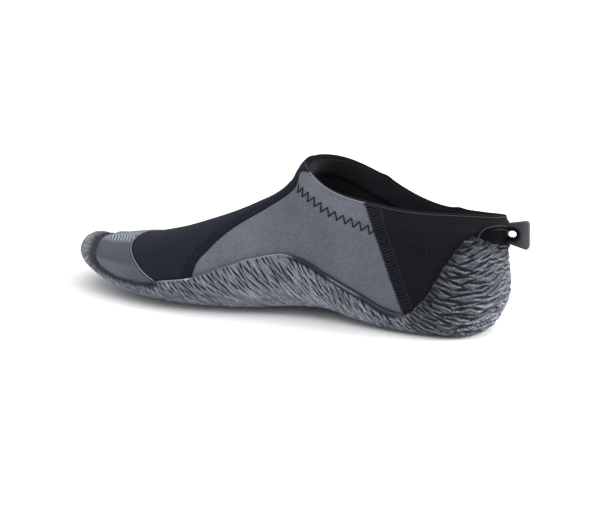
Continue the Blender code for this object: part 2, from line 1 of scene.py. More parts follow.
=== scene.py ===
"""Looks of the wetsuit bootie: knit neoprene, flat-lock seams, stranded rubber sole and moulded tab.

The shape of the last is worked out here as in the part's source, in millimetres, with stations
measured from the back of the heel towards the toe. The upper, its lining, the toe cap and the wall of
the sole are grids of columns that stand round the foot, and each column climbs from the feather edge
towards the collar or the ridge.
"""
import math
from types import SimpleNamespace

import bmesh
import bpy
import numpy as np
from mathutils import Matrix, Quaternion, Vector
from mathutils.bvhtree import BVHTree


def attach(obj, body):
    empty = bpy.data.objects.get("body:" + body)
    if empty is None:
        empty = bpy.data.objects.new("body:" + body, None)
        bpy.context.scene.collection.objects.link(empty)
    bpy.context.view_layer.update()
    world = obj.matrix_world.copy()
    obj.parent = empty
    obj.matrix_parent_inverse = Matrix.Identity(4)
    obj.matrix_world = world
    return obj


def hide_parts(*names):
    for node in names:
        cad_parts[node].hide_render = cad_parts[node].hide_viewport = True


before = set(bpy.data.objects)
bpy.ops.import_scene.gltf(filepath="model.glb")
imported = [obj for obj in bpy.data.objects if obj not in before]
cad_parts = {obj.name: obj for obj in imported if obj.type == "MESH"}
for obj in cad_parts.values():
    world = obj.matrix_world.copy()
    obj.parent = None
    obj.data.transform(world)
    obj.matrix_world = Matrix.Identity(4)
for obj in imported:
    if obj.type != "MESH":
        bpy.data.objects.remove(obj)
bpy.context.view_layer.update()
MM = 0.001


def table(columns, *rows):
    """A short table with named columns."""
    return np.array(list(rows), dtype=[(name, float) for name in columns.split()])


# Shape of the last
HEEL_POLE = 34.0
THROAT = 131.0
TOE_POLE = 238.0
FIT_GAP = 0.35
WELD = 0.01
FLAT_SHARE = 0.5
WIDEST_SHARE = 0.25
RING_SAMPLES, SPAN_SAMPLES, COLUMN_SAMPLES, SEAM_SAMPLES = 24, 30, 220, 240
HALVINGS, CHUNK = 30, 8000
TINY, SLIVER = 1e-9, 1e-6
RIDGE_SHARE, NORMAL_BLUR = 0.985, 3
SIDES = (1.0, -1.0)

OUTLINE = table(
    "station medial lateral",
    (2.5, 0.0, 0.0),
    (7.5, 17.0, 17.5),
    (18.5, 27.3, 28.0),
    (34.0, 31.8, 33.0),
    (60.0, 32.3, 34.5),
    (88.0, 30.0, 36.5),
    (114.0, 28.5, 39.5),
    (140.0, 31.0, 43.5),
    (165.0, 37.5, 47.5),
    (188.0, 42.3, 48.8),
    (208.0, 42.6, 46.5),
    (226.0, 40.4, 42.2),
    (241.0, 35.6, 36.6),
    (254.0, 28.6, 28.6),
    (264.0, 20.0, 18.6),
    (270.0, 10.0, 7.6),
    (271.6, 1.4, -1.4),
)
COLLAR = table(
    "station half_width medial_height lateral_height",
    (3.9, 0.0, 72.0, 72.0),
    (7.9, 8.4, 72.9, 70.2),
    (15.0, 13.4, 73.5, 68.8),
    (27.0, 18.0, 73.9, 67.8),
    (43.0, 22.3, 73.9, 67.3),
    (64.0, 26.3, 74.8, 71.5),
    (84.0, 28.0, 77.4, 80.2),
    (99.0, 26.7, 79.6, 87.0),
    (112.0, 23.0, 83.2, 91.6),
    (122.0, 16.0, 87.8, 93.8),
    (128.6, 7.0, 91.3, 94.0),
    (131.0, 0.0, 92.9, 92.9),
)
RIDGE = table(
    "station height",
    (131.0, 92.9),
    (134.0, 87.2),
    (138.0, 80.1),
    (148.0, 70.1),
    (160.0, 62.9),
    (172.0, 56.1),
    (192.0, 46.5),
    (215.0, 37.0),
    (238.0, 30.6),
    (260.0, 27.6),
)
SPINE = table("station offset", (34.0, 0.0), (105.0, 0.0), (165.0, 3.0), (238.0, 2.0))
BOTTOM = table(
    "station medial middle lateral thickness",
    (6.0, 0.0, 0.0, 0.0, 6.0),
    (62.0, 0.0, 0.0, 0.0, 6.0),
    (88.0, 3.2, 1.6, 0.8, 5.2),
    (108.0, 7.0, 4.0, 2.0, 5.0),
    (130.0, 5.6, 3.4, 1.6, 5.0),
    (152.0, 3.0, 1.0, 1.2, 5.2),
    (168.0, 2.4, 0.0, 1.6, 5.2),
    (206.0, 2.4, 0.0, 1.8, 5.0),
    (228.0, 4.2, 2.4, 3.8, 4.6),
    (246.0, 7.0, 5.8, 6.8, 4.2),
    (260.0, 10.4, 9.4, 10.4, 4.0),
    (273.0, 14.2, 12.8, 14.2, 4.0),
)
SECTION = table(
    "station widest feather side_fullness top_fullness",
    (2.5, 26.0, 0.68, 0.45, 0.30),
    (30.0, 24.0, 0.78, 0.45, 0.30),
    (62.0, 20.0, 0.78, 0.45, 0.30),
    (110.0, 22.0, 0.74, 0.45, 0.32),
    (131.0, 20.0, 0.74, 0.45, 0.40),
    (160.0, 15.0, 0.75, 0.42, 0.46),
    (192.0, 10.0, 0.76, 0.46, 0.56),
    (238.0, 6.0, 0.77, 0.55, 0.60),
    (271.6, 3.0, 0.78, 0.48, 0.50),
)
TOP_LEAN = table(
    "station degrees",
    (2.5, 4.0),
    (34.0, 10.0),
    (84.0, 8.0),
    (108.0, 24.0),
    (122.0, 46.0),
    (131.0, 68.0),
    (142.0, 90.0),
    (238.0, 90.0),
)
RUBBER_EDGE = table(
    "station height",
    (2.5, 55.6),
    (8.0, 59.0),
    (16.0, 62.4),
    (22.5, 60.2),
    (26.0, 57.4),
    (29.5, 53.2),
    (34.0, 46.6),
    (38.0, 38.6),
    (41.5, 30.6),
    (44.5, 25.4),
    (48.0, 20.8),
    (53.0, 14.6),
    (58.0, 12.2),
    (67.0, 13.4),
    (84.0, 20.5),
    (106.0, 30.0),
    (123.0, 38.0),
    (134.0, 40.4),
    (150.0, 36.8),
    (168.0, 30.4),
    (182.0, 24.4),
    (190.0, 21.4),
    (196.0, 20.0),
    (205.0, 18.2),
    (213.0, 16.4),
    (222.0, 15.2),
    (235.0, 15.6),
    (248.0, 18.0),
    (255.0, 21.0),
    (261.0, 24.2),
    (266.0, 25.8),
    (271.6, 26.6),
)

# Walls, as in the part's source
WALL = 3.0
HEM_WALL = 4.6
HEM_DEPTH = 12.0
HEM_BLEND = 3.0
RUBBER_WALL = 2.2
TOE_RIM_WALL = 1.8
INSOLE_THICKNESS = 3.6
CAP_SEAM_FOOT = 212.0
WING_WALK = 29.5
WING_TOP, WING_END_HEIGHT, WING_FALL, WING_BACK_DIP = 69.2, 62.6, 5.2, 2.2
FIN_REACH, FIN_LOW_REACH = -10.3, -11.4
FIN_TIP_LOW, FIN_TIP_HIGH = 53.2, 70.6
FIN_CORNER = 2.2
FIN_ROOT = 4.2
FIN_ROOT_LOW, FIN_ROOT_HIGH = 56.4, 67.6
HOLE_STATION, HOLE_HEIGHT, HOLE_RADIUS, HOLE_SQUASH = -0.3, 61.7, 2.5, 0.8

# Seams on the outside of the upper, from the sole's edge to the collar
VAMP_SEAM = table(
    "station height",
    (189.5, 17.0),
    (188.2, 23.4),
    (186.9, 29.9),
    (184.7, 33.9),
    (181.3, 38.0),
    (177.1, 43.1),
    (171.2, 48.8),
    (162.0, 55.7),
    (152.5, 62.2),
    (142.0, 69.9),
    (134.6, 76.6),
    (131.7, 81.3),
    (131.0, 85.0),
    (129.8, 87.8),
    (126.7, 89.0),
    (123.4, 89.4),
    (122.8, 93.0),
)
VAMP_STITCH_END = 85.0
OUTER_VAMP_SEAM = np.concatenate(
    (VAMP_SEAM[:13], table("station height", (130.0, 88.2), (128.4, 91.6), (127.2, 95.0)))
)
QUARTER_SEAM = table(
    "station height",
    (56.0, 10.0),
    (57.5, 13.9),
    (61.5, 23.3),
    (67.4, 36.3),
    (73.5, 50.3),
    (78.7, 62.0),
    (81.7, 69.6),
    (84.7, 76.4),
    (86.4, 80.0),
)

# Zigzag stitch of the hem, from the throat back to the heel counter
HEM_STITCH = table(
    "station height",
    (130.6, 79.4),
    (124.4, 77.4),
    (119.4, 75.2),
    (114.5, 72.8),
    (109.9, 70.4),
    (104.7, 68.6),
    (99.1, 67.0),
    (92.7, 65.2),
    (86.3, 63.6),
    (76.0, 60.4),
    (60.0, 55.8),
    (46.0, 52.0),
    (31.0, 48.4),
)

# Strands of the rubber: lean above level towards the toe, pocket sizes, streaks and the spread of the lean
STRANDS = table(
    "station lean_top lean_foot length pitch width streak tilt",
    (2.5, 0.0, 0.0, 14.0, 3.1, 0.42, 0.4, 19.0),
    (8.0, -13.0, -16.0, 15.5, 3.2, 0.42, 0.4, 18.0),
    (18.0, -6.0, -14.0, 17.5, 3.3, 0.42, 0.4, 18.0),
    (28.0, 12.0, 8.0, 17.5, 3.2, 0.42, 0.4, 17.0),
    (40.0, 30.0, 26.0, 15.5, 3.0, 0.42, 0.45, 13.0),
    (60.0, 48.0, 40.0, 13.0, 2.9, 0.44, 0.65, 11.0),
    (100.0, 58.0, 40.0, 11.0, 2.5, 0.34, 0.9, 9.0),
    (134.0, 63.0, 36.0, 16.0, 2.8, 0.28, 0.7, 6.0),
    (160.0, 60.0, 34.0, 16.0, 2.7, 0.29, 0.65, 6.0),
    (185.0, 52.0, 34.0, 13.0, 2.6, 0.36, 0.7, 8.0),
    (205.0, 52.0, 42.0, 10.0, 2.5, 0.38, 0.8, 8.0),
    (232.0, 56.0, 52.0, 8.0, 2.4, 0.40, 0.8, 7.0),
    (250.0, 70.0, 66.0, 8.0, 2.4, 0.40, 0.8, 6.0),
    (271.6, 90.0, 90.0, 8.0, 2.4, 0.40, 0.8, 6.0),
)
POCKET_DEPTH, HEEL_POCKET_DEPTH, POCKET_CROWN = 1.0, 1.7, 0.35
CRACK_DEPTH = 0.4
STREAK_HEIGHT = 0.16
LIP_RADIUS, LIP_BAND, LIP_ROWS = 0.7, 2.4, 12
LIP_GROOVE, LIP_GROOVE_PLACE, LIP_GROOVE_WIDTH = 0.8, 1.45, 0.85

# Zones along the foot: start, length of the way in, end, length of the way out
ZONES = {
    "scallop": (-math.inf, 1.0, 60.0, 15.0),
    "heel": (-math.inf, 1.0, 62.0, 20.0),
    "counter": (-math.inf, 1.0, 42.0, 16.0),
    "worn_heel": (-math.inf, 1.0, 38.0, 22.0),
    "bulge": (-math.inf, 1.0, 30.0, 18.0),
    "lip_patches": (22.0, 5.0, 58.0, 6.0),
    "edge_line": (56.0, 8.0, 136.0, 16.0),
    "flank": (56.0, 8.0, 140.0, 14.0),
    "waist": (66.0, 12.0, 206.0, 12.0),
    "shank": (82.0, 6.0, 108.0, 6.0),
    "arch": (126.0, 6.0, 164.0, 8.0),
    "front_panel": (128.0, 26.0, math.inf, 1.0),
    "fore": (187.0, 3.0, 214.0, 4.0),
    "toe": (204.0, 8.0, math.inf, 1.0),
    "tip": (222.0, 14.0, math.inf, 1.0),
    "cap_side": (224.0, 14.0, math.inf, 1.0),
    "outer_drop": (228.0, 12.0, 266.0, 8.0),
    "front": (240.0, 20.0, math.inf, 1.0),
    "cap_rise": (249.0, 8.0, math.inf, 1.0),
    "inner_rim": (250.0, 12.0, math.inf, 1.0),
    "outer_rim": (262.0, 8.0, math.inf, 1.0),
}


def hermite(first, second, leave, arrive, t):
    """Curve from one value to the next with given slopes at its ends."""
    return (
        first * (1 + 2 * t) * (1 - t) ** 2
        + leave * t * (1 - t) ** 2
        + second * t * t * (3 - 2 * t)
        + arrive * t * t * (t - 1)
    )


def smooth(rows, name, station):
    """Values of a table's column at stations, on a smooth curve that never overshoots its rows."""
    x = rows["station"]
    y = rows[name]
    gap = np.diff(x)
    rise = np.diff(y) / gap
    slope = np.concatenate((rise[:1], np.zeros(len(x) - 2), rise[-1:]))
    for i in range(1, len(x) - 1):
        if rise[i - 1] * rise[i] > 0:
            left = 2 * gap[i] + gap[i - 1]
            right = gap[i] + 2 * gap[i - 1]
            slope[i] = (left + right) / (left / rise[i - 1] + right / rise[i])
    station = np.clip(station, x[0], x[-1])
    i = np.clip(np.searchsorted(x, station, side="right") - 1, 0, len(gap) - 1)
    t = (station - x[i]) / gap[i]
    return hermite(y[i], y[i + 1], gap[i] * slope[i], gap[i] * slope[i + 1], t)


def ease(value):
    """Smooth step from 0 to 1."""
    t = np.clip(value, 0.0, 1.0)
    return t * t * (3 - 2 * t)


def rounded(value):
    """Quarter-round rise from 0 to 1."""
    return np.sqrt(np.clip(1 - (1 - np.clip(value, 0, 1)) ** 2, 0, 1))


def bell(distance, width):
    """Soft hump, 1 at no distance and fading over a width."""
    return np.exp(-((distance / width) ** 2))


def zone(name, station):
    """1 inside a named zone along the foot, easing to 0 past its ends."""
    start, rise, end, fall = ZONES[name]
    return ease((station - start) / rise) * ease((end - station) / fall)


def waves(rows, walk):
    """Sum of slow waves along the walk."""
    return sum(row["height"] * np.sin(row["rate"] * walk + row["phase"]) for row in rows)


def closed_curve(points):
    """Dense closed curve through points, smooth in slope and bend."""
    points = np.array(points, float)
    count = len(points)
    after = np.roll(points, -1, axis=0)
    gap = np.linalg.norm((after - points)[:, :2], axis=1)
    rise = (after - points) / gap[:, None]
    matrix = np.zeros((count, count))
    for i in range(count):
        matrix[i, i - 1] = gap[i - 1]
        matrix[i, i] = 2 * (gap[i - 1] + gap[i])
        matrix[i, (i + 1) % count] = gap[i]
    bend = np.linalg.solve(matrix, 6 * (rise - np.roll(rise, 1, axis=0)))
    curve = []
    for i in range(count):
        j = (i + 1) % count
        for t in np.linspace(0, 1, RING_SAMPLES, endpoint=False):
            arch = (t**3 - t) * bend[j] + ((1 - t) ** 3 - (1 - t)) * bend[i]
            curve.append((1 - t) * points[i] + t * points[j] + gap[i] ** 2 / 6 * arch)
    curve.append(curve[0])
    return np.array(curve)


def outline_ring():
    """Plan of the upper: out along the inner side and back along the outer side."""
    inner = [(row["station"], row["medial"]) for row in OUTLINE]
    outer = [(row["station"], -row["lateral"]) for row in OUTLINE[-2:0:-1]]
    return closed_curve(inner + outer)


def collar_ring():
    """Top edge of the collar, with heights."""
    inner = [(row["station"], row["half_width"], row["medial_height"]) for row in COLLAR]
    outer = [(row["station"], -row["half_width"], row["lateral_height"]) for row in COLLAR[-2:0:-1]]
    return closed_curve(inner + outer)


OUTLINE_RING = outline_ring()
COLLAR_RING = collar_ring()
HEEL_WALK = HEEL_POLE * math.pi / 2
BODY_WALK = TOE_POLE - HEEL_POLE
TOE_WALK = (OUTLINE["station"][-1] - TOE_POLE) * math.pi / 2
SIDE_WALK = HEEL_WALK + BODY_WALK + TOE_WALK
FULL_WALK = 2 * SIDE_WALK
THROAT_WALK = HEEL_WALK + THROAT - HEEL_POLE


def stand(walk):
    """Base points, outward directions and sides of the columns at places on the walk."""
    walk = np.mod(walk, FULL_WALK)
    side = np.where(walk <= SIDE_WALK, 1.0, -1.0)
    along = np.where(side > 0, walk, FULL_WALK - walk)
    heel = np.clip(along / HEEL_WALK, 0, 1) * math.pi / 2
    toe = np.clip((along - HEEL_WALK - BODY_WALK) / TOE_WALK, 0, 1) * math.pi / 2
    station = np.clip(HEEL_POLE + along - HEEL_WALK, HEEL_POLE, TOE_POLE)
    base = np.stack((station, smooth(SPINE, "offset", station)), axis=1)
    across = np.sin(heel) * np.cos(toe)
    direction = np.stack((np.sin(toe) - np.cos(heel), side * across), axis=1)
    return base, direction, side


def reach(ring, base, direction):
    """Where the columns' rays meet a ring: distances, the ring's own values there, and whether they do."""
    offset = ring[None, :, :2] - base[:, None, :]
    along = np.einsum("nrk,nk->nr", offset, direction)
    across = offset[..., 1] * direction[:, None, 0] - offset[..., 0] * direction[:, None, 1]
    here, after = across[:, :-1], across[:, 1:]
    change = np.where(here == after, 1.0, here - after)
    t = here / change
    distance = (1 - t) * along[:, :-1] + t * along[:, 1:]
    crosses = (here * after <= 0) & (here != after) & (distance > 0)
    first = crosses.argmax(axis=1)
    rows = np.arange(len(base))
    t = t[rows, first][:, None]
    return distance[rows, first], (1 - t) * ring[first] + t * ring[first + 1], crosses.any(axis=1)


def bottom_height(station, side, share):
    """Underside of the sole, share being 0 on the axis and 1 at the feather edge."""
    middle = smooth(BOTTOM, "middle", station)
    medial = smooth(BOTTOM, "medial", station)
    lateral = smooth(BOTTOM, "lateral", station)
    edge = np.where(side > 0, medial, lateral)
    outward = np.clip((share - FLAT_SHARE) / (1 - FLAT_SHARE), 0, None)
    return middle + (edge - middle) * outward**2


def ridge_slope(station, step=0.5):
    """Fall of the ridge line towards the toe."""
    before, after = (smooth(RIDGE, "height", station + way * step) for way in (-1, 1))
    return (after - before) / (2 * step)


def columns(walk):
    """Sizes of the columns: where they stand, their feet, their widest levels and their tops."""
    walk = np.asarray(walk, float)
    base, direction, side = stand(walk)
    wide, edge_point, _ = reach(OUTLINE_RING, base, direction)
    station = edge_point[:, 0]
    floor = bottom_height(station, side, 1.0) + smooth(BOTTOM, "thickness", station)
    foot = np.stack((wide * smooth(SECTION, "feather", station), floor + FIT_GAP), axis=1)
    widest = np.stack((wide, floor + smooth(SECTION, "widest", station)), axis=1)
    inward, rim, meets = reach(COLLAR_RING, base, direction)
    open_top = (base[:, 0] < THROAT - WELD) & meets
    ridge = smooth(RIDGE, "height", base[:, 0])
    top = np.stack((np.where(open_top, inward, 0.0), np.where(open_top, rim[:, 2], ridge)), axis=1)
    lean = np.radians(smooth(TOP_LEAN, "degrees", np.where(open_top, station, base[:, 0])))
    slope = np.where(base[:, 0] > TOE_POLE - WELD, ridge_slope(TOE_POLE) * direction[:, 0], 0.0)
    span = widest - top
    handle = np.hypot(span[:, 0] * np.sin(lean), span[:, 1] * np.cos(lean))
    handle = handle * smooth(SECTION, "top_fullness", station)
    high = top + handle[:, None] * np.stack((np.sin(lean), slope - np.cos(lean)), axis=1)
    lift = smooth(SECTION, "side_fullness", station) * (top[:, 1] - widest[:, 1])
    low = widest + np.stack((np.zeros(len(walk)), lift), axis=1)
    return {
        "walk": walk,
        "base": base,
        "direction": direction,
        "side": side,
        "station": station,
        "foot": foot,
        "widest": widest,
        "low": low,
        "high": high,
        "top": top,
        "open_top": open_top,
    }


def profile(c, share):
    """Distances out and heights on columns, share being 0 at the feather edge and 1 at the top."""
    names = ("foot", "widest", "low", "high", "top")
    foot, widest, low, high, top = (c[name][:, None, :] for name in names)
    turn = np.clip(share / WIDEST_SHARE, 0, 1) * math.pi / 2
    under = foot + (widest - foot) * np.stack((np.sin(turn), 1 - np.cos(turn)), axis=2)
    t = np.clip((share - WIDEST_SHARE) / (1 - WIDEST_SHARE), 0, 1)[..., None]
    over = widest * (1 - t) ** 3 + 3 * low * t * (1 - t) ** 2 + 3 * high * t * t * (1 - t) + top * t**3
    return np.where((share <= WIDEST_SHARE)[..., None], under, over)


def skin(c, share):
    """Points on the outside of the upper, as columns by rows."""
    flat = profile(c, share)
    plan = c["base"][:, None, :] + c["direction"][:, None, :] * flat[..., :1]
    return np.concatenate((plan, flat[..., 1:]), axis=2)


def share_at(c, height):
    """Shares at which the columns pass the given heights, found by halving."""
    low = np.zeros(len(c["walk"]))
    high = np.ones(len(c["walk"]))
    for _ in range(HALVINGS):
        middle = 0.5 * (low + high)
        below = profile(c, middle[:, None])[:, 0, 1] < height
        low = np.where(below, middle, low)
        high = np.where(below, high, middle)
    return low


def rubber_edge(c):
    """Height of the rubber's edge at the columns."""
    return smooth(RUBBER_EDGE, "height", c["station"])


def even_shares(c, low, high, rows, fine_top=0.0, fine_rows=0):
    """Shares between two limits, evenly spaced along each column, with closer rows at its top."""
    dense = low[:, None] + (high - low)[:, None] * np.linspace(0, 1, COLUMN_SAMPLES)[None, :]
    run = climb(skin(c, dense))
    spaced = []
    for length, shares in zip(run, dense):
        bend = max(length[-1] - fine_top, 0.5 * length[-1])
        wanted = np.linspace(0, bend, rows - fine_rows, endpoint=fine_rows == 0)
        wanted = np.concatenate((wanted, np.linspace(bend, length[-1], fine_rows)))
        spaced.append(np.interp(wanted, length, shares))
    return np.array(spaced)


def unit(vectors):
    """Vectors of length 1."""
    length = np.linalg.norm(vectors, axis=-1, keepdims=True)
    return vectors / np.maximum(length, TINY)


def blur_round(values, reach_columns, loop):
    """Mean of each column with its neighbours on either side."""
    total = values.copy()
    for k in range(1, reach_columns + 1):
        if loop:
            total += np.roll(values, k, axis=0) + np.roll(values, -k, axis=0)
        else:
            total[k:] += values[:-k]
            total[:k] += values[:1]
            total[:-k] += values[k:]
            total[-k:] += values[-1:]
    return total / (2 * reach_columns + 1)


def outward(c, points, share, loop):
    """Outward normals of a grid of points on the upper."""
    if loop:
        along = np.roll(points, -1, axis=0) - np.roll(points, 1, axis=0)
    else:
        along = np.gradient(points, axis=0)
    normals = unit(np.cross(np.gradient(points, axis=1), along))
    normals = unit(blur_round(normals, NORMAL_BLUR, loop))
    slope = ridge_slope(c["base"][:, 0])
    ridge = unit(np.stack((-slope, np.zeros(len(points)), np.ones(len(points))), axis=1))
    closed = (~c["open_top"])[:, None] & (share > RIDGE_SHARE)
    blend = (ease((share - RIDGE_SHARE) / (1 - RIDGE_SHARE)) * closed)[..., None]
    return unit(normals * (1 - blend) + ridge[:, None, :] * blend)


def surface(c, share, loop):
    """Points on the outside of the upper with their outward normals."""
    points = skin(c, share)
    return points, outward(c, points, share, loop)


def climb(points):
    """Length climbed along each column of a grid."""
    steps = np.linalg.norm(np.diff(points, axis=1), axis=2)
    return np.concatenate((np.zeros((len(points), 1)), np.cumsum(steps, axis=1)), axis=1)


def run_along(line):
    """Length run along a line at each of its points."""
    return np.concatenate(([0.0], np.cumsum(np.linalg.norm(np.diff(line, axis=0), axis=1))))


def places_on(line, run, wanted):
    """Points of a line at the wanted runs."""
    return np.stack([np.interp(wanted, run, line[:, k]) for k in range(line.shape[1])], axis=1)


def flowing(rows, count):
    """Dense stations and heights along a seam's table, evenly spaced."""
    points = np.stack((rows["station"], rows["height"]), axis=1)
    before = np.concatenate((2 * points[:1] - points[1:2], points[:-1]))
    after = np.concatenate((points[1:], 2 * points[-1:] - points[-2:-1]))
    slope = 0.5 * (after - before)
    t = np.linspace(0, 1, SPAN_SAMPLES, endpoint=False)[:, None]
    spans = [hermite(*points[i:i + 2], *slope[i:i + 2], t) for i in range(len(points) - 1)]
    dense = np.concatenate(spans + [points[-1:]])
    run = run_along(dense)
    return places_on(dense, run, np.linspace(0, run[-1], count))


def seam_line(rows, side, count):
    """Points of a seam on one side of the upper."""
    flat = flowing(rows, count)
    walk = HEEL_WALK + flat[:, 0] - HEEL_POLE
    c = columns(walk if side > 0 else FULL_WALK - walk)
    return skin(c, share_at(c, flat[:, 1])[:, None])[:, 0]


def distance_to(points, line):
    """Distance of each point from a line's nearest point, and that point's place in the line."""
    near = np.empty(len(points))
    place = np.empty(len(points), int)
    for start in range(0, len(points), CHUNK):
        part = slice(start, start + CHUNK)
        square = ((points[part, None, :] - line[None, :, :]) ** 2).sum(axis=2)
        place[part] = square.argmin(axis=1)
        near[part] = np.sqrt(square.min(axis=1))
    return near, place


def grid_distance(grid, line):
    """Distance of each point of a grid from a line."""
    return distance_to(grid.reshape(-1, 3), line)[0].reshape(grid.shape[:2])


def seam_side(points, inner, outer, sign):
    """Distance from a seam on the inner and the outer side, positive towards its panel."""
    result = np.empty(len(points))
    for side, rows in zip(SIDES, (inner, outer)):
        flat = flowing(rows, SEAM_SAMPLES)
        slope = np.gradient(flat, axis=0)
        mine = (points[:, 1] - smooth(SPINE, "offset", points[:, 0])) * side >= 0
        near, _ = distance_to(points[mine], seam_line(rows, side, SEAM_SAMPLES))
        spots = points[mine][:, [0, 2]]
        _, place = distance_to(spots, flat)
        offset = spots - flat[place]
        turn = slope[place, 0] * offset[:, 1] - slope[place, 1] * offset[:, 0]
        result[mine] = near * np.sign(turn) * sign
    return result


# Meshes
def to_frame(points):
    """From stations in millimetres to the part's own frame in metres."""
    return (np.asarray(points, float).reshape(-1, 3) - (HEEL_POLE, 0.0, 0.0)) * MM


def grid_faces(count, rows, loop=False, start=0):
    """Quads of a grid of columns by rows, facing outwards."""
    i = np.arange(count if loop else count - 1)[:, None]
    j = np.arange(rows - 1)[None, :]
    after = (i + 1) % count
    corners = (i * rows + j, i * rows + j + 1, after * rows + j + 1, after * rows + j)
    return np.stack(corners, axis=2).reshape(-1, 4) + start


def make_piece(name, points, faces, material, fields=None, node=None):
    """A smooth welded mesh that rides on the part, with named values on its points."""
    mesh = bpy.data.meshes.new(name)
    mesh.from_pydata(to_frame(points).tolist(), [], [list(face) for face in faces])
    for field, values in (fields or {}).items():
        layer = mesh.attributes.new(field, "FLOAT", "POINT")
        layer.data.foreach_set("value", np.asarray(values, np.float32).ravel())
    work = bmesh.new()
    work.from_mesh(mesh)
    bmesh.ops.remove_doubles(work, verts=work.verts, dist=0.2 * WELD * MM)
    work.to_mesh(mesh)
    work.free()
    mesh.shade_smooth()
    mesh.materials.append(material)
    piece = bpy.data.objects.new(name, mesh)
    bpy.context.scene.collection.objects.link(piece)
    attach(piece, "root")
    if node:
        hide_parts(node)
    return piece


def join_grids(grids):
    """Points and faces of several grids, each with its loop flag, as one mesh."""
    points, faces, start = [], [], 0
    for grid, loop in grids:
        count, rows = grid.shape[:2]
        points.append(grid.reshape(-1, 3))
        faces.append(grid_faces(count, rows, loop, start))
        start += count * rows
    return np.concatenate(points), np.concatenate(faces)


def tubes(laid, radius, sides):
    """Round threads along paths with their normals, as one mesh, with closed ends."""
    points, faces, start = [], [], 0
    angle = np.linspace(0, 2 * math.pi, sides, endpoint=False)[None, :, None]
    for path, normal in laid:
        tangent = unit(np.gradient(path, axis=0))
        across = unit(np.cross(tangent, normal))
        up = np.cross(across, tangent)
        ring = np.cos(angle) * across[:, None] + np.sin(angle) * up[:, None]
        count = len(path)
        points.append((path[:, None] + radius * ring).reshape(-1, 3))
        i = np.arange(count - 1)[:, None] * sides
        j = np.arange(sides)[None, :]
        k = (j + 1) % sides
        quads = np.stack((i + j, i + k, i + sides + k, i + sides + j), axis=2).reshape(-1, 4) + start
        faces += quads.tolist()
        faces.append([start + s for s in reversed(range(sides))])
        faces.append([start + (count - 1) * sides + s for s in range(sides)])
        start += count * sides
    return np.concatenate(points), faces


# Shader groups and materials
def feed(tree, target, value):
    """A value or a link into an input socket."""
    if isinstance(value, bpy.types.NodeSocket):
        tree.links.new(value, target)
    else:
        target.default_value = value


def add(tree, kind, **inputs):
    """A node whose settings and input sockets, named with _ for spaces, get values or links."""
    node = tree.nodes.new(kind)
    for key, value in inputs.items():
        if hasattr(node, key):
            setattr(node, key, value)
        else:
            feed(tree, node.inputs[key.replace("_", " ")], value)
    return node


def math_node(tree, operation, *values, clamp=False):
    """Result of a step of maths on values or links."""
    node = add(tree, "ShaderNodeMath", operation=operation, use_clamp=clamp)
    for target, value in zip(node.inputs, values):
        feed(tree, target, value)
    return node.outputs[0]


def mix_colour(tree, share, first, second):
    """Colour between two colours."""
    node = add(tree, "ShaderNodeMix", data_type="RGBA")
    targets = {target.identifier: target for target in node.inputs}
    for name, value in (("Factor_Float", share), ("A_Color", first), ("B_Color", second)):
        feed(tree, targets[name], value)
    return next(result for result in node.outputs if result.identifier == "Result_Color")


def scaled(tree, colour, factor):
    """Colour times a factor."""
    node = add(tree, "ShaderNodeVectorMath", operation="SCALE", Vector=colour, Scale=factor)
    return node.outputs["Vector"]


def ramp_between(tree, value, low, high):
    """Value mapped from a range to 0 to 1, with a smooth step."""
    node = add(tree, "ShaderNodeMapRange", interpolation_type="SMOOTHSTEP", Value=value)
    feed(tree, node.inputs["From Min"], low)
    feed(tree, node.inputs["From Max"], high)
    return node.outputs["Result"]


def new_group(name, inputs, outputs):
    """An empty shader group with named sockets, its input node and its output node."""
    tree = bpy.data.node_groups.new(name, "ShaderNodeTree")
    for label, kind, default in inputs:
        item = tree.interface.new_socket(label, in_out="INPUT", socket_type=kind)
        item.default_value = default
    for label, kind in outputs:
        tree.interface.new_socket(label, in_out="OUTPUT", socket_type=kind)
    return tree, tree.nodes.new("NodeGroupInput"), tree.nodes.new("NodeGroupOutput")


def knit_group():
    """Fine knit face: loops, a slow mottle, and the height of the loops."""
    tree, given, result = new_group(
        "knit_face",
        [
            ("Colour", "NodeSocketColor", (0.1, 0.1, 0.1, 1)),
            ("Loops per metre", "NodeSocketFloat", 900.0),
            ("Contrast", "NodeSocketFloat", 0.3),
        ],
        [("Colour", "NodeSocketColor"), ("Height", "NodeSocketFloat")],
    )
    place = tree.nodes.new("ShaderNodeTexCoord").outputs["Object"]
    loops_per_metre = given.outputs["Loops per metre"]
    grain = add(tree, "ShaderNodeTexNoise", Vector=place, Scale=loops_per_metre, Detail=2.0)
    loops = add(tree, "ShaderNodeTexVoronoi", Vector=place, Scale=loops_per_metre)
    mottle = add(tree, "ShaderNodeTexNoise", Vector=place, Scale=MOTTLE_SCALE, Detail=4.0)
    height = math_node(tree, "SUBTRACT", grain.outputs["Fac"], loops.outputs["Distance"])
    spread = math_node(tree, "SUBTRACT", grain.outputs["Fac"], 0.5)
    slow = math_node(tree, "SUBTRACT", mottle.outputs["Fac"], 0.5)
    total = math_node(tree, "MULTIPLY_ADD", spread, GRAIN_SHARE, slow)
    factor = math_node(tree, "MULTIPLY_ADD", total, given.outputs["Contrast"], 1.0)
    tree.links.new(scaled(tree, given.outputs["Colour"], factor), result.inputs["Colour"])
    tree.links.new(height, result.inputs["Height"])
    return tree


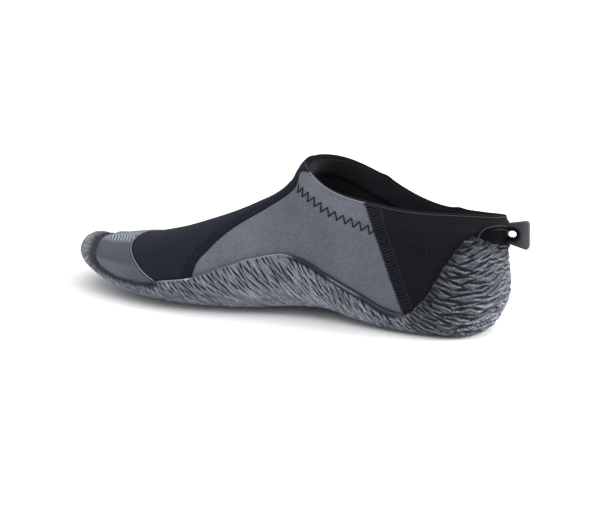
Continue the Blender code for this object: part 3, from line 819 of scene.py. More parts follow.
def rubber_group():
    """Moulded rubber: painted shade in the hollows, pale crests that are partly painted highlight, a fine
    bloom and pitted gloss.
    """
    tree, given, result = new_group(
        "rubber_skin",
        [
            ("Colour", "NodeSocketColor", (0.1, 0.1, 0.1, 1)),
            ("Crest", "NodeSocketColor", (0.2, 0.2, 0.2, 1)),
            ("Hollow", "NodeSocketColor", (0.01, 0.01, 0.01, 1)),
            ("Hollowness", "NodeSocketFloat", 0.0),
            ("Crestness", "NodeSocketFloat", 0.0),
            ("Gloss", "NodeSocketFloat", 0.5),
        ],
        [("Colour", "NodeSocketColor"), ("Roughness", "NodeSocketFloat"), ("Height", "NodeSocketFloat")],
    )
    place = tree.nodes.new("ShaderNodeTexCoord").outputs["Object"]
    pits = add(tree, "ShaderNodeTexNoise", Vector=place, Scale=PIT_SCALE, Detail=3.0).outputs["Fac"]
    bloom = add(tree, "ShaderNodeTexNoise", Vector=place, Scale=BLOOM_SCALE, Detail=4.0).outputs["Fac"]
    patchy = math_node(tree, "MULTIPLY_ADD", bloom, PATCH_SPREAD, PATCH_BASE)
    crest = math_node(tree, "MULTIPLY", given.outputs["Crestness"], patchy, clamp=True)
    # Crests are paled, partly by the strands' own streaks and partly as painted highlight; hollows take
    # painted shade.
    worn = mix_colour(tree, crest, given.outputs["Colour"], given.outputs["Crest"])
    shade = mix_colour(tree, given.outputs["Hollowness"], worn, given.outputs["Hollow"])
    speckle = math_node(tree, "MULTIPLY_ADD", pits, SPECKLE_SPREAD, SPECKLE_BASE)
    rough = math_node(tree, "MULTIPLY_ADD", bloom, BLOOM_ROUGHNESS, given.outputs["Gloss"])
    tree.links.new(scaled(tree, shade, speckle), result.inputs["Colour"])
    tree.links.new(rough, result.inputs["Roughness"])
    tree.links.new(pits, result.inputs["Height"])
    return tree


MOTTLE_SCALE, GRAIN_SHARE = 55.0, 1.6
PIT_SCALE, BLOOM_SCALE, BLOOM_ROUGHNESS = 1500.0, 90.0, 0.22
PATCH_SPREAD, PATCH_BASE = 0.5, 0.75
SPECKLE_SPREAD, SPECKLE_BASE = 0.4, 0.8
KNIT = knit_group()
RUBBER = rubber_group()


def new_material(name, **constants):
    """A material with its Principled shader, whose constant sockets are set directly."""
    material = bpy.data.materials.new(name)
    material.use_nodes = True
    tree = material.node_tree
    shader = tree.nodes["Principled BSDF"]
    for key, value in constants.items():
        shader.inputs[key.replace("_", " ")].default_value = value
    return material, tree, shader


def place_group(tree, group, **inputs):
    """A shader group's node with its own values."""
    return add(tree, "ShaderNodeGroup", node_tree=group, **inputs)


def bump(tree, shader, height, distance, strength):
    """Fine relief of a height on a shader."""
    node = add(tree, "ShaderNodeBump", Height=height, Distance=distance, Strength=strength)
    tree.links.new(node.outputs["Normal"], shader.inputs["Normal"])


def field(tree, name):
    """A named value of the mesh's points."""
    return add(tree, "ShaderNodeAttribute", attribute_name=name).outputs["Fac"]


GREY_KNIT = (0.107, 0.117, 0.140, 1)
BLACK_KNIT = (0.0165, 0.0192, 0.0280, 1)
QUARTER_KNIT = (0.0108, 0.0106, 0.0132, 1)
RIM_GREY = (0.30, 0.31, 0.33, 1)
RIM_BLACK = (0.066, 0.066, 0.070, 1)
RIM_TOP = (0.0070, 0.0070, 0.0085, 1)
LINING_BLACK = (0.032, 0.031, 0.038, 1)
SOLE_GREY = (0.154, 0.167, 0.205, 1)
# The heel's darker grey is painted shade on the heel's face.
HEEL_SHADE_GREY = (0.029, 0.033, 0.047, 1)
# SOLE_CREST is the pale of the strands' streaks and of painted highlights; SOLE_HOLLOW is the dark of
# painted shade in the hollows and of darker streaks.
SOLE_CREST = (0.40, 0.43, 0.485, 1)
SOLE_HOLLOW = (0.005, 0.006, 0.010, 1)
TAB_BLACK = (0.0024, 0.0024, 0.0034, 1)
# TAB_CREST is the colour of the tab's painted highlight.
TAB_CREST = (0.085, 0.083, 0.092, 1)
MESH_GREY = (0.058, 0.063, 0.079, 1)
# MESH_CROWN is the colour of the crown's painted highlight and the side ribs' paler crests; MESH_GAP the
# dark between the ribs and the painted shade along the seam.
MESH_CROWN = (0.265, 0.297, 0.337, 1)
MESH_GAP = (0.022, 0.023, 0.030, 1)
PIPING_GREY = (0.19, 0.20, 0.215, 1)
THREAD_BLACK = (0.0060, 0.0060, 0.0090, 1)
VAMP_THREAD = (0.0056, 0.0076, 0.0145, 1)
QUARTER_THREAD = (0.0150, 0.0155, 0.0260, 1)
FLOOR_WHITE = (0.93, 0.93, 0.93, 1)


PANEL_EDGE = 0.15
# The pale field lifts the panels' colour as painted highlight; the groove field darkens them as painted
# shade.
PAINTED_HIGHLIGHT_LIFT, GROOVE_SHADE = 0.12, 0.75
THREAD_BUMP = 0.6
GAP_START = 0.35


def neoprene_material():
    """Knit-faced neoprene in three colours, told apart by the distance from the seams, with painted
    highlight and painted shade.
    """
    material, tree, shader = new_material(
        "neoprene_panels", Roughness=0.72, Specular_IOR_Level=0.0, Sheen_Weight=0.045, Sheen_Roughness=0.4
    )
    grey = place_group(tree, KNIT, Colour=GREY_KNIT, Loops_per_metre=800.0, Contrast=0.45)
    vamp = place_group(tree, KNIT, Colour=BLACK_KNIT, Loops_per_metre=1500.0, Contrast=0.3)
    quarter = place_group(tree, KNIT, Colour=QUARTER_KNIT, Loops_per_metre=1500.0, Contrast=0.3)
    in_vamp = ramp_between(tree, field(tree, "vamp"), -PANEL_EDGE, PANEL_EDGE)
    in_quarter = ramp_between(tree, field(tree, "quarter"), -PANEL_EDGE, PANEL_EDGE)
    panels = mix_colour(tree, in_vamp, grey.outputs["Colour"], vamp.outputs["Colour"])
    panels = mix_colour(tree, in_quarter, panels, quarter.outputs["Colour"])
    # Painted highlight: the hem's puff and the grey panel's front are lifted.
    panels = scaled(tree, panels, math_node(tree, "MULTIPLY_ADD", field(tree, "pale"), PAINTED_HIGHLIGHT_LIFT, 1.0))
    inside = field(tree, "inside")
    dark = math_node(tree, "MAXIMUM", math_node(tree, "MAXIMUM", in_vamp, in_quarter), inside)
    rim = mix_colour(tree, dark, RIM_GREY, RIM_BLACK)
    colour = mix_colour(tree, field(tree, "rim"), mix_colour(tree, inside, panels, RIM_TOP), rim)
    # Painted shade: the seams' grooves and the line above the rubber's edge are darkened.
    shade = math_node(tree, "MULTIPLY_ADD", field(tree, "groove"), -GROOVE_SHADE, 1.0)
    tree.links.new(scaled(tree, colour, shade), shader.inputs["Base Color"])
    bump(tree, shader, grey.outputs["Height"], distance=0.00018, strength=0.5)
    return material


def knit_material(name, colour, loops, contrast, depth, **constants):
    """Plain knit or thread in one colour."""
    material, tree, shader = new_material(name, **constants)
    knit = place_group(tree, KNIT, Colour=colour, Loops_per_metre=loops, Contrast=contrast)
    tree.links.new(knit.outputs["Colour"], shader.inputs["Base Color"])
    bump(tree, shader, knit.outputs["Height"], depth, THREAD_BUMP)
    return material


def lining_material():
    """Matt black lining."""
    finish = {"Roughness": 0.9, "Specular_IOR_Level": 0.0, "Sheen_Weight": 0.02}
    return knit_material("black_lining", LINING_BLACK, loops=1100.0, contrast=0.4, depth=0.0002, **finish)


def thread_material(name, colour):
    """Twisted thread or cord."""
    finish = {"Roughness": 0.6, "Specular_IOR_Level": 0.12, "Sheen_Weight": 0.02}
    return knit_material(name, colour, loops=2600.0, contrast=0.5, depth=0.00012, **finish)


def wire_rubber(tree, shader, depth, strength, **inputs):
    """Rubber skin with its own colours and masks, wired to a shader."""
    skin_node = place_group(tree, RUBBER, **inputs)
    tree.links.new(skin_node.outputs["Colour"], shader.inputs["Base Color"])
    tree.links.new(skin_node.outputs["Roughness"], shader.inputs["Roughness"])
    bump(tree, shader, skin_node.outputs["Height"], depth, strength)


def sole_material():
    """Grey stranded rubber, darker at the toe's front, and darkest at the heel, where shade on its face is
    painted.
    """
    material, tree, shader = new_material("stranded_rubber", Specular_IOR_Level=0.3)
    wire_rubber(
        tree,
        shader,
        depth=0.0002,
        strength=0.5,
        # Painted shade darkens the heel; the toe's front is a darker tone.
        Colour=mix_colour(tree, field(tree, "dark"), SOLE_GREY, HEEL_SHADE_GREY),
        Crest=SOLE_CREST,
        Hollow=SOLE_HOLLOW,
        Hollowness=field(tree, "pocket"),
        Crestness=field(tree, "fibre_and_highlight"),
        Gloss=0.5,
    )
    return material


def tab_material():
    """Black moulded rubber, with a painted highlight on its raised faces."""
    material, tree, shader = new_material("tab_rubber", Specular_IOR_Level=0.02)
    wire_rubber(
        tree,
        shader,
        depth=0.0001,
        strength=0.4,
        Colour=TAB_BLACK,
        Crest=TAB_CREST,
        Hollow=TAB_BLACK,
        Crestness=field(tree, "crest"),
        Gloss=0.34,
    )
    return material


def cap_material():
    """Grey ribbed mesh, pale on its crown as a painted highlight, dark between its ribs, with painted shade
    along its seam.
    """
    material, tree, shader = new_material(
        "toe_mesh", Roughness=0.7, Specular_IOR_Level=0.2, Sheen_Weight=0.06, Sheen_Roughness=0.4
    )
    worn = mix_colour(tree, field(tree, "crown"), MESH_GREY, MESH_CROWN)
    knit = place_group(tree, KNIT, Colour=worn, Loops_per_metre=1500.0, Contrast=0.25)
    gap = ramp_between(tree, field(tree, "gap"), GAP_START, 1.0)
    tree.links.new(mix_colour(tree, gap, knit.outputs["Colour"], MESH_GAP), shader.inputs["Base Color"])
    bump(tree, shader, knit.outputs["Height"], distance=0.00015, strength=0.5)
    return material


# Upper
UNDER_RUBBER = 4.5
SEAM_GROOVE, SEAM_GROOVE_WIDTH = 0.35, 0.6
# Width of the painted shadow line on the upper just above the rubber's edge.
EDGE_LINE = 2.4
VAMP_BAND, QUARTER_BAND, BAND_LIFT = 6.4, 8.2, 0.2
BAND_START, BAND_RISE, BAND_FALL = 0.3, 0.8, 1.0
HEM_PUFF, HEM_PUFF_DEPTH, HEM_PUFF_FADE, HEM_PUFF_RISE = 0.5, HEM_DEPTH + 1.0, 5.0, 3.0
HEM_STITCH_DIP, HEM_STITCH_WIDTH = 0.35, 1.8
RIM_RISE, RIM_ROWS = 1.5, 20
RIM_BUMPS, RIM_BUMP_REACH = ((84.0, 0.9), (35.5, 1.1)), 4.0
RIM_LINES = table("place width strength", (0.08, 0.04, 1.0), (0.9, 0.05, 0.5))
RIM_INSIDE, RIM_INSIDE_RISE = 0.12, 0.06
UPPER_ROWS, UPPER_STEP = 100, 0.74


def upper_walks(step):
    """Columns of the upper, evenly spaced, with the heel, the throat and the toe tip among them."""
    stops = (0.0, THROAT_WALK, SIDE_WALK, FULL_WALK - THROAT_WALK, FULL_WALK)
    runs = []
    for start, end in zip(stops, stops[1:]):
        runs.append(np.linspace(start, end, round((end - start) / step), endpoint=False))
    return np.concatenate(runs)


CREASES = table(
    "station height side reach lean width depth",
    (110.0, 54.0, 1, 30.0, 14.0, 11.0, 0.9),
    (122.0, 58.0, 1, 16.0, 35.0, 5.0, 0.45),
    (104.0, 48.0, 1, 18.0, 25.0, 6.0, -0.4),
    (146.0, 52.0, 1, 15.0, 40.0, 5.5, 0.35),
    (62.0, 40.0, 1, 14.0, 70.0, 6.0, 0.35),
    (44.0, 52.0, 1, 12.0, 60.0, 5.0, -0.35),
    (210.0, 34.0, 1, 14.0, 80.0, 6.0, 0.4),
    (120.0, 60.0, -1, 17.0, 35.0, 5.0, 0.45),
    (98.0, 50.0, -1, 18.0, 25.0, 6.0, -0.4),
    (150.0, 50.0, -1, 15.0, 40.0, 5.5, 0.35),
    (60.0, 44.0, -1, 14.0, 70.0, 6.0, 0.35),
)


def aligned(x, y, lean):
    """Distances along and across a lean."""
    return x * math.cos(lean) + y * math.sin(lean), y * math.cos(lean) - x * math.sin(lean)


def crease_depth(points):
    """Soft troughs and ridges of the neoprene where it is creased by wear, depth being positive in a
    trough.
    """
    depth = np.zeros(len(points))
    for row in CREASES:
        lean = math.radians(row["lean"])
        along, across = aligned(points[:, 0] - row["station"], points[:, 2] - row["height"], lean)
        soft = bell(along, row["reach"]) * bell(across, row["width"])
        depth += row["depth"] * soft * (points[:, 1] * row["side"] > 0)
    return depth


def upper_relief(flat, vamp, quarter, puff):
    """Height of the hem, bands, grooves and creases over the plain upper, and the seams' grooves alone,
    which also set painted shade.
    """
    stitches = [distance_to(flat, seam_line(HEM_STITCH, side, SEAM_SAMPLES))[0] for side in SIDES]
    cap, _ = distance_to(flat, cap_seam_line()[0])
    nearest = np.minimum(np.minimum(np.abs(vamp), np.abs(quarter)), cap)
    groove = bell(nearest, SEAM_GROOVE_WIDTH)
    band = np.zeros(len(flat))
    for inside, width in ((vamp, VAMP_BAND), (quarter, QUARTER_BAND)):
        edges = ease((inside - BAND_START) / BAND_RISE) * ease((width - inside) / BAND_FALL)
        band = np.maximum(band, edges)
    relief = HEM_PUFF * puff - HEM_STITCH_DIP * bell(np.minimum(*stitches), HEM_STITCH_WIDTH)
    return relief - SEAM_GROOVE * groove + BAND_LIFT * band - crease_depth(flat), groove


def collar_rim(c, grid, normals):
    """Roll of neoprene over the collar: its columns in the upper's grid, and its points."""
    order = np.argsort(np.mod(c["walk"] + SIDE_WALK, FULL_WALK))
    ring = order[(c["open_top"][order]) | (np.abs(c["base"][order, 0] - THROAT) < WELD)]
    edge = grid[ring, -1]
    out = normals[ring, -1]
    rise = unit(np.cross(np.gradient(edge, axis=0), out))
    height = np.full(len(ring), RIM_RISE)
    for station, lift in RIM_BUMPS:
        height += lift * bell(edge[:, 0] - station, RIM_BUMP_REACH) * (c["side"][ring] < 0)
    angle = np.linspace(0, math.pi, RIM_ROWS)[None, :, None]
    middle = edge - out * 0.5 * HEM_WALL
    roll = out[:, None] * 0.5 * HEM_WALL * np.cos(angle)
    return ring, middle[:, None] + roll + rise[:, None] * height[:, None, None] * np.sin(angle)


def make_upper(material):
    """Outside of the upper with its rounded collar rim."""
    c = columns(upper_walks(UPPER_STEP))
    edge = rubber_edge(c)
    share = even_shares(c, share_at(c, edge - UNDER_RUBBER), np.ones(len(edge)), UPPER_ROWS)
    grid, normals = surface(c, share, True)
    flat = grid.reshape(-1, 3)
    vamp = seam_side(flat, VAMP_SEAM, OUTER_VAMP_SEAM, -1.0)
    quarter = seam_side(flat, QUARTER_SEAM, QUARTER_SEAM, 1.0)
    hem, _ = distance_to(flat, COLLAR_RING)
    puff = ease((HEM_PUFF_DEPTH - hem) / HEM_PUFF_FADE) * ease(hem / HEM_PUFF_RISE)
    # Painted highlight on the hem's puff, which faces up, and on the grey panel's front.
    pale = puff + np.repeat(zone("front_panel", c["station"]), UPPER_ROWS) * ease(-vamp)
    relief, groove = upper_relief(flat, vamp, quarter, puff)
    # Painted shadow: a dark line on the flank just above the rubber's edge.
    edge_line = ease((EDGE_LINE - grid[..., 2] + edge[:, None]) / EDGE_LINE)
    edge_line = edge_line * zone("edge_line", c["station"])[:, None]
    grid = grid + normals * relief.reshape(grid.shape[:2])[..., None]
    ring, rim = collar_rim(c, grid, normals)
    fields = {}
    for name, values in {"vamp": vamp, "quarter": quarter, "pale": pale}.items():
        top = values.reshape(grid.shape[:2])[ring, -1]
        fields[name] = np.concatenate((values, np.repeat(top, RIM_ROWS)))
    across = np.linspace(0, 1, RIM_ROWS)
    lines = sum(row["strength"] * bell(across - row["place"], row["width"]) for row in RIM_LINES)
    inside = ease((across - RIM_INSIDE) / RIM_INSIDE_RISE)
    for name, values in {"rim": lines, "inside": inside}.items():
        fields[name] = np.concatenate((np.zeros(len(flat)), np.tile(values, len(ring))))
    shaded = np.maximum(groove, edge_line.ravel())
    fields["groove"] = np.concatenate((shaded, np.zeros(len(ring) * RIM_ROWS)))
    points, faces = join_grids([(grid, True), (rim, False)])
    make_piece("upper_outside", points, faces, material, fields, "upper")
    faces = grid_faces(len(grid), UPPER_ROWS, True)
    return BVHTree.FromPolygons(grid.reshape(-1, 3).tolist(), faces.tolist())


LINING_FOOT, LINING_ROWS, LINING_SKIP = 0.04, 54, 3
TUCK, TUCK_DROP = 3.0, 2.0


def make_lining(material):
    """Black lining inside the upper, with the hem's step, tucked under the insole at its foot."""
    c = columns(upper_walks(UPPER_STEP))
    count = len(c["walk"])
    share = even_shares(c, np.full(count, LINING_FOOT), np.ones(count), LINING_ROWS)
    grid, normals = surface(c, share, True)
    step = ease((HEM_DEPTH + HEM_BLEND - grid_distance(grid, COLLAR_RING)) / HEM_BLEND)
    inner = (grid - normals * (WALL + (HEM_WALL - WALL) * step)[..., None])[::LINING_SKIP]
    way = c["direction"][::LINING_SKIP]
    tuck = inner[:, :1] - np.column_stack((TUCK * way, np.full(len(way), TUCK_DROP)))[:, None]
    points, faces = join_grids([(np.concatenate((tuck, inner), axis=1), True)])
    make_piece("upper_lining", points, faces[:, ::-1], material)


# Seams
SEAM_FINE = 400
RUNG_PITCH, RUNG_RADIUS, RUNG_STEPS, RUNG_SIDES = 1.8, 0.32, 7, 6
RUNG_START, RUNG_SHORT = -0.8, 0.4
RUNG_SINK, RUNG_ARCH = -0.12, 0.3
RUNG_SLANT, RUNG_SWAY, RUNG_SWAY_RATE = 0.5, 0.25, 2.4
CHAIN_STEP, CHAIN_START, CHAIN_WAVE, CHAIN_LIFT = 0.6, 0.35, 0.22, 0.1
ZIGZAG_HALF, ZIGZAG_PITCH, ZIGZAG_RADIUS, ZIGZAG_STEPS, ZIGZAG_SIDES = 2.6, 5.4, 0.4, 8, 8
ZIGZAG_SINK, ZIGZAG_ARCH, ZIGZAG_STEEP = -0.1, 0.34, 2.5


def lay_on(tree, points, lift):
    """Points laid on the upper's outside at a lift above it, with the normals there."""
    places, normals = [], []
    for point, height in zip(points, np.broadcast_to(lift, len(points))):
        spot, normal, _, _ = tree.find_nearest(Vector(point))
        normal = np.array(normal)
        places.append(np.array(spot) + normal * height)
        normals.append(normal)
    return np.array(places), np.array(normals)


def seam_frame(tree, rows, side, spacing, top=np.inf):
    """Evenly spaced points on a seam up to a height, with the directions along it and to its right."""
    line = seam_line(rows, side, SEAM_FINE)
    line = line[np.cumprod(line[:, 2] <= top).astype(bool)]
    run = run_along(line)
    places, normals = lay_on(tree, places_on(line, run, np.arange(0.0, run[-1], spacing)), 0.0)
    along = unit(np.gradient(places, axis=0))
    return places, along, np.cross(along, normals) * side


def ladder(tree, rows, side, sign, top, width):
    """Flat-lock ladder: rungs across the seam's band and a chain along each of its edges."""
    places, along, across = seam_frame(tree, rows, side, RUNG_PITCH, top)
    laid = []
    steps = np.linspace(0, 1, RUNG_STEPS)
    arch = np.sin(math.pi * steps)
    out = RUNG_START + (width - RUNG_SHORT - RUNG_START) * steps
    for k, place in enumerate(places):
        sway = RUNG_SLANT * steps + RUNG_SWAY * math.sin(RUNG_SWAY_RATE * k) * arch
        raw = place + sign * across[k] * out[:, None] + along[k] * sway[:, None]
        laid.append(lay_on(tree, raw, RUNG_SINK + RUNG_ARCH * np.sqrt(arch)))
    places, _, across = seam_frame(tree, rows, side, CHAIN_STEP, top)
    wave = CHAIN_WAVE * np.sin(np.arange(len(places)) * CHAIN_STEP * 2 * math.pi / RUNG_PITCH)
    for offset in (CHAIN_START, width - 2 * RUNG_SHORT):
        laid.append(lay_on(tree, places + sign * across * (offset + wave)[:, None], CHAIN_LIFT))
    return laid


def hem_zigzag(tree, side):
    """Zigzag stitch along the hem on one side, diving into the neoprene at each turn."""
    places, _, across = seam_frame(tree, HEM_STITCH, side, 0.5 * ZIGZAG_PITCH)
    count = np.arange(len(places))
    swing = np.where(count % 2 == 0, ZIGZAG_HALF, -ZIGZAG_HALF)
    dense = np.linspace(0, count[-1], ZIGZAG_STEPS * count[-1] + 1)
    raw = places_on(places - across * swing[:, None], count, dense)
    dive = np.abs(np.mod(dense + 0.5, 1.0) - 0.5) * 2
    return lay_on(tree, raw, ZIGZAG_SINK + ZIGZAG_ARCH * ease(dive * ZIGZAG_STEEP))


def make_seams(tree, zigzag, vamp_thread, quarter_thread):
    """Threads of the two flat-lock seams and the zigzag of the hem, on both sides."""
    ladders = (
        ("vamp_seam_thread", VAMP_SEAM, -1.0, VAMP_STITCH_END, VAMP_BAND, vamp_thread),
        ("quarter_seam_thread", QUARTER_SEAM, 1.0, np.inf, QUARTER_BAND, quarter_thread),
    )
    for name, rows, sign, top, width, thread in ladders:
        laid = [path for side in SIDES for path in ladder(tree, rows, side, sign, top, width)]
        points, faces = tubes(laid, RUNG_RADIUS, RUNG_SIDES)
        make_piece(name, points, faces, thread)
    points, faces = tubes([hem_zigzag(tree, side) for side in SIDES], ZIGZAG_RADIUS, ZIGZAG_SIDES)
    make_piece("hem_zigzag_thread", points, faces, zigzag)


# Toe cap
CAP_LIFT, CAP_EDGE = 1.1, 1.8
CAP_STEP, CAP_BUNCH, CAP_ROWS = 0.42, 0.25, 130
CAP_MIN_SHARE, CAP_SEAM_UNDER, CAP_SEAM_ROWS = 0.01, 1.5, 24
CROWN_RIB_PITCH, SIDE_RIB_PITCH, RIB_HEIGHT, RIB_FADE = 1.95, 1.6, 0.2, 1.5
CROWN_RIB_LEAN, SIDE_RIB_LEAN = 105.0, 33.0
# Crown settings paint a highlight on the crown, which faces up; side settings pale the side ribs' crests.
CROWN_LEVEL, CROWN_BLEND, CROWN_PALE, CROWN_RIB_PALE = 0.968, 0.02, 0.45, 0.75
SIDE_LEVEL, SIDE_BLEND, SIDE_PALE, SIDE_RIB_PALE = 0.76, 0.2, 0.06, 0.5
BACK_SIDE_SHARE, PLAIN_WEAVE = 0.3, 0.62
CROWN_RISE, RISE_LEVEL, RISE_BLEND, RISE_FADE = 0.9, 0.8, 0.15, 1.5
# Width of the painted shade along the rear seam.
SEAM_GAP_WIDTH = 0.9
BEAD_RADIUS, BEAD_LIFT, BEAD_BACK, BEAD_SIDES = 0.36, 0.5, 0.35, 10


def cap_seam_share(c):
    """Shares of the toe cap's rear seam: the ridge at the toe pole, the rubber at its foot."""
    back = np.clip((TOE_POLE - c["base"][:, 0]) / (TOE_POLE - CAP_SEAM_FOOT), 0, 1)
    edge = share_at(c, rubber_edge(c))
    return edge + (1 - edge) * (1 - np.sqrt(back))


def cap_walks(step):
    """Columns of the toe cap, closer together at the two feet of its seam."""
    start = HEEL_WALK + CAP_SEAM_FOOT - HEEL_POLE
    half = np.linspace(0, 1, round((SIDE_WALK - start) / step))
    run = start + (SIDE_WALK - start) * (CAP_BUNCH * half**2 + (1 - CAP_BUNCH) * half)
    return np.concatenate((run, FULL_WALK - run[-2::-1]))


def cap_grid(under, rows):
    """Columns, points and normals of the toe cap, from under the rubber's edge to its rear seam."""
    c = columns(cap_walks(CAP_STEP))
    low = share_at(c, rubber_edge(c) - under)
    share = even_shares(c, low, np.maximum(cap_seam_share(c), low + CAP_MIN_SHARE), rows)
    return c, *surface(c, share, False)


def flattened(c, points):
    """The cap's cloth laid flat: distances from the ridge or the toe pole along each column."""
    run = climb(points[:, ::-1])[:, ::-1]
    top = points[:, -1, :2]
    return top[:, None, :] + c["direction"][:, None, :] * run[..., None]


def ribs(flat, lean, pitch):
    """Rib height from 0 to 1 of parallel ribs that lean from the foot's axis."""
    _, across = aligned(flat[..., 0], np.abs(flat[..., 1]), math.radians(lean))
    return 0.5 + 0.5 * np.cos(across * 2 * math.pi / pitch)


def cap_seam_line():
    """Points and outward normals along the cap's rear seam, from the inner foot to the outer foot."""
    c, grid, normals = cap_grid(CAP_SEAM_UNDER, CAP_SEAM_ROWS)
    body = (c["base"][:, 0] <= TOE_POLE + WELD) & (c["direction"][:, 0] < WELD)
    return grid[body, -1], normals[body, -1]


def make_toe_cap(material, cord):
    """Ribbed mesh cap with turned edges, and the piping bead along its rear seam."""
    c, grid, normals = cap_grid(UNDER_RUBBER, CAP_ROWS)
    seam, seam_normals = cap_seam_line()
    near = grid_distance(grid, seam)
    flat = flattened(c, grid)
    level = normals[..., 2]
    crown = ease((level - CROWN_LEVEL) / CROWN_BLEND)
    forward = BACK_SIDE_SHARE + (1 - BACK_SIDE_SHARE) * zone("cap_side", grid[..., 0])
    side = ease((SIDE_LEVEL - level) / SIDE_BLEND) * forward
    across = ribs(flat, CROWN_RIB_LEAN, CROWN_RIB_PITCH)
    along = ribs(flat, SIDE_RIB_LEAN, SIDE_RIB_PITCH)
    weave = PLAIN_WEAVE + crown * (across - PLAIN_WEAVE) + side * (along - PLAIN_WEAVE)
    # Painted highlight on the crown, with paler crests on the side ribs.
    crown_pale = crown * (CROWN_PALE + CROWN_RIB_PALE * across)
    bright = np.maximum(crown_pale, side * (SIDE_PALE + SIDE_RIB_PALE * along))
    above = grid[..., 2] - rubber_edge(c)[:, None]
    rise = ease((level - RISE_LEVEL) / RISE_BLEND) * ease(above / RISE_FADE)
    rise = rise * zone("cap_rise", grid[..., 0])
    lift = CAP_LIFT * rounded(near / CAP_EDGE) + CROWN_RISE * rise
    lift = lift + RIB_HEIGHT * (weave - 0.5) * ease(near / RIB_FADE)
    points, faces = join_grids([(grid + normals * lift[..., None], False)])
    # The gap field darkens between the ribs and paints shade along the seam; the crown field holds the
    # painted highlight.
    fields = {"gap": np.maximum(1 - weave, bell(near, SEAM_GAP_WIDTH)), "crown": bright}
    make_piece("toe_cap_mesh", points, faces, material, fields, "toe_cap")
    back = unit(np.cross(seam_normals, np.gradient(seam, axis=0)))
    back *= -np.sign(back[:, :1])
    path = seam + seam_normals * BEAD_LIFT + back * BEAD_BACK
    points, faces = tubes([(path, seam_normals)], BEAD_RADIUS, BEAD_SIDES)
    make_piece("toe_cap_bead", points, faces, cord, node="toe_cap_piping")


# Rubber sole
HEEL_SPLIT = HEEL_WALK + 64.0
WALL_ROWS = 118
SOLE_STEP = 0.46
LIP_TUCK = 0.05
SCALLOP = 0.8
SCALLOP_WAVES = table("rate phase height", (0.95, 0.0, 1.0), (1.71, 1.3, 0.6))
LIP_PATCH_WAVES = table("rate phase height", (1.3, 0.0, 1.0), (3.1, 0.7, 0.6))
FRINGE_SWAY = table("rate phase height", (0.9, 0.0, 0.2), (0.37, 1.0, 0.25))
TOE_RIB_PITCH, TOE_RIB_HEIGHT = 2.2, 0.25
TOE_SWELL, TOE_SWELL_PLACE, TOE_SWELL_WIDTH = 2.3, 0.31, 0.13
OUTER_TOE_DROP = 2.5
HEEL_BULGE, HEEL_BULGE_HEIGHT, HEEL_BULGE_REACH = 2.2, 24.0, 12.0
HEEL_DENT, HEEL_DENT_HEIGHT, HEEL_DENT_REACH = 1.0, 50.0, 5.0
SEED = 7
GUIDE_COLUMNS, POCKET_TRIES, CRACK_SIZE = 620, 60000, 0.6
TILT_RANGE, LENGTH_RANGE, PITCH_RANGE = (0.2, 1.0), (0.6, 1.35), (0.8, 1.15)
POCKET_FOOT, POCKET_PAST_TOP, POCKET_CLEAR = 0.5, 1.0, 1.05
LENS_REACH, LENS_HALF, LENS_TAPER, LENS_STEEP = 0.55, 0.52, 1.3, 1.4
STREAK_CELL, STREAK_STEPS, STREAK_SPARE, STREAK_LIMIT = 0.5, 9, 4, 2.0
CLEAR_START, CLEAR_RISE, CLEAR_FOOT = 0.4, 0.9, 3.0
PLAIN_START, PLAIN_RISE = 0.3, 0.35
# Height and fade of the painted light on the heel's lower wall.
LIT_HEEL_HEIGHT, LIT_HEEL_FADE = 30.0, 20.0
SHANK_LIP, FORE_LIP, LIP_PATCH_STRENGTH, LIP_PATCH_LEVEL = 0.7, 0.8, 1.6, 0.5
# Strengths of painted shade along the counter's top, in cracks and in the cap's seat, whose stitching is
# also dark; and of a darker tone at the toe's front.
COUNTER_SHADE, COUNTER_REACH, COUNTER_FADE, COUNTER_STREAK = 0.9, 8.5, 5.0, 0.6
CRACK_DARK, SEAT_DARK, FRONT_DARK = 0.4, 0.87, 0.6
DIM_WAIST, DIM_START = 0.15, 0.4
STREAK_PALE_LIMIT, SEAT_CALM = 1.6, 0.8
# Painted highlight along the lip.
LIP_PALE, LIP_PALE_PLACE, LIP_PALE_WIDTH = 0.3, 0.15, 0.25
GLINT, GLINT_STATION, GLINT_LENGTH, GLINT_PLACE, GLINT_WIDTH = 1.2, 190.5, 1.3, 0.4, 0.7

# How much each mask calms the pockets
CALM = {"plain": 0.55, "tip": 0.3, "front": 0.6}

# Sizes and strengths on the wall: a value for all of it, and what each mask adds
STRENGTHS = {
    "fringe": {"all": 0.7, "streak": 0.3},
    # Toe fringe: darker valleys and paler crests, partly the strands' own tone and partly painted shade and
    # highlight.
    "fringe_dark": {"all": 0.6, "front": 0.2},
    "fringe_pale": {"all": 0.55, "front": 0.3},
    # The cap's seat: a band of painted shade in the gap below the cap, whose stitching is also dark.
    "toe_band": {"all": 4.3, "front": 2.8, "streak": 0.8},
    "seat_fade": {"all": 1.6, "front": 1.6},
    "seat_depth": {"all": 0.7, "front": 0.25},
    # Painted shade just under the rubber's top edge, and in the pockets.
    "rim_reach": {"all": 0.9, "flank": 1.0},
    "rim_fade": {"all": 0.5, "flank": 0.5},
    "rim_dark": {"all": 0.55, "flank": 0.4},
    "sunk_start": {"all": 0.25, "heel": -0.13},
    "sunk_fade": {"all": 0.45, "heel": -0.15},
    "dim": {"all": 0.4, "plain": 0.3},
    # Pale streaks, made paler on the heel's lower wall as painted light.
    "streak_pale": {"all": 0.4, "plain": 0.2, "flank": 0.2, "worn": 0.7},
    # Painted light on the pockets' upward slopes.
    "slope_highlight": {"all": 0.2, "heel": 0.3, "worn": 0.25},
}


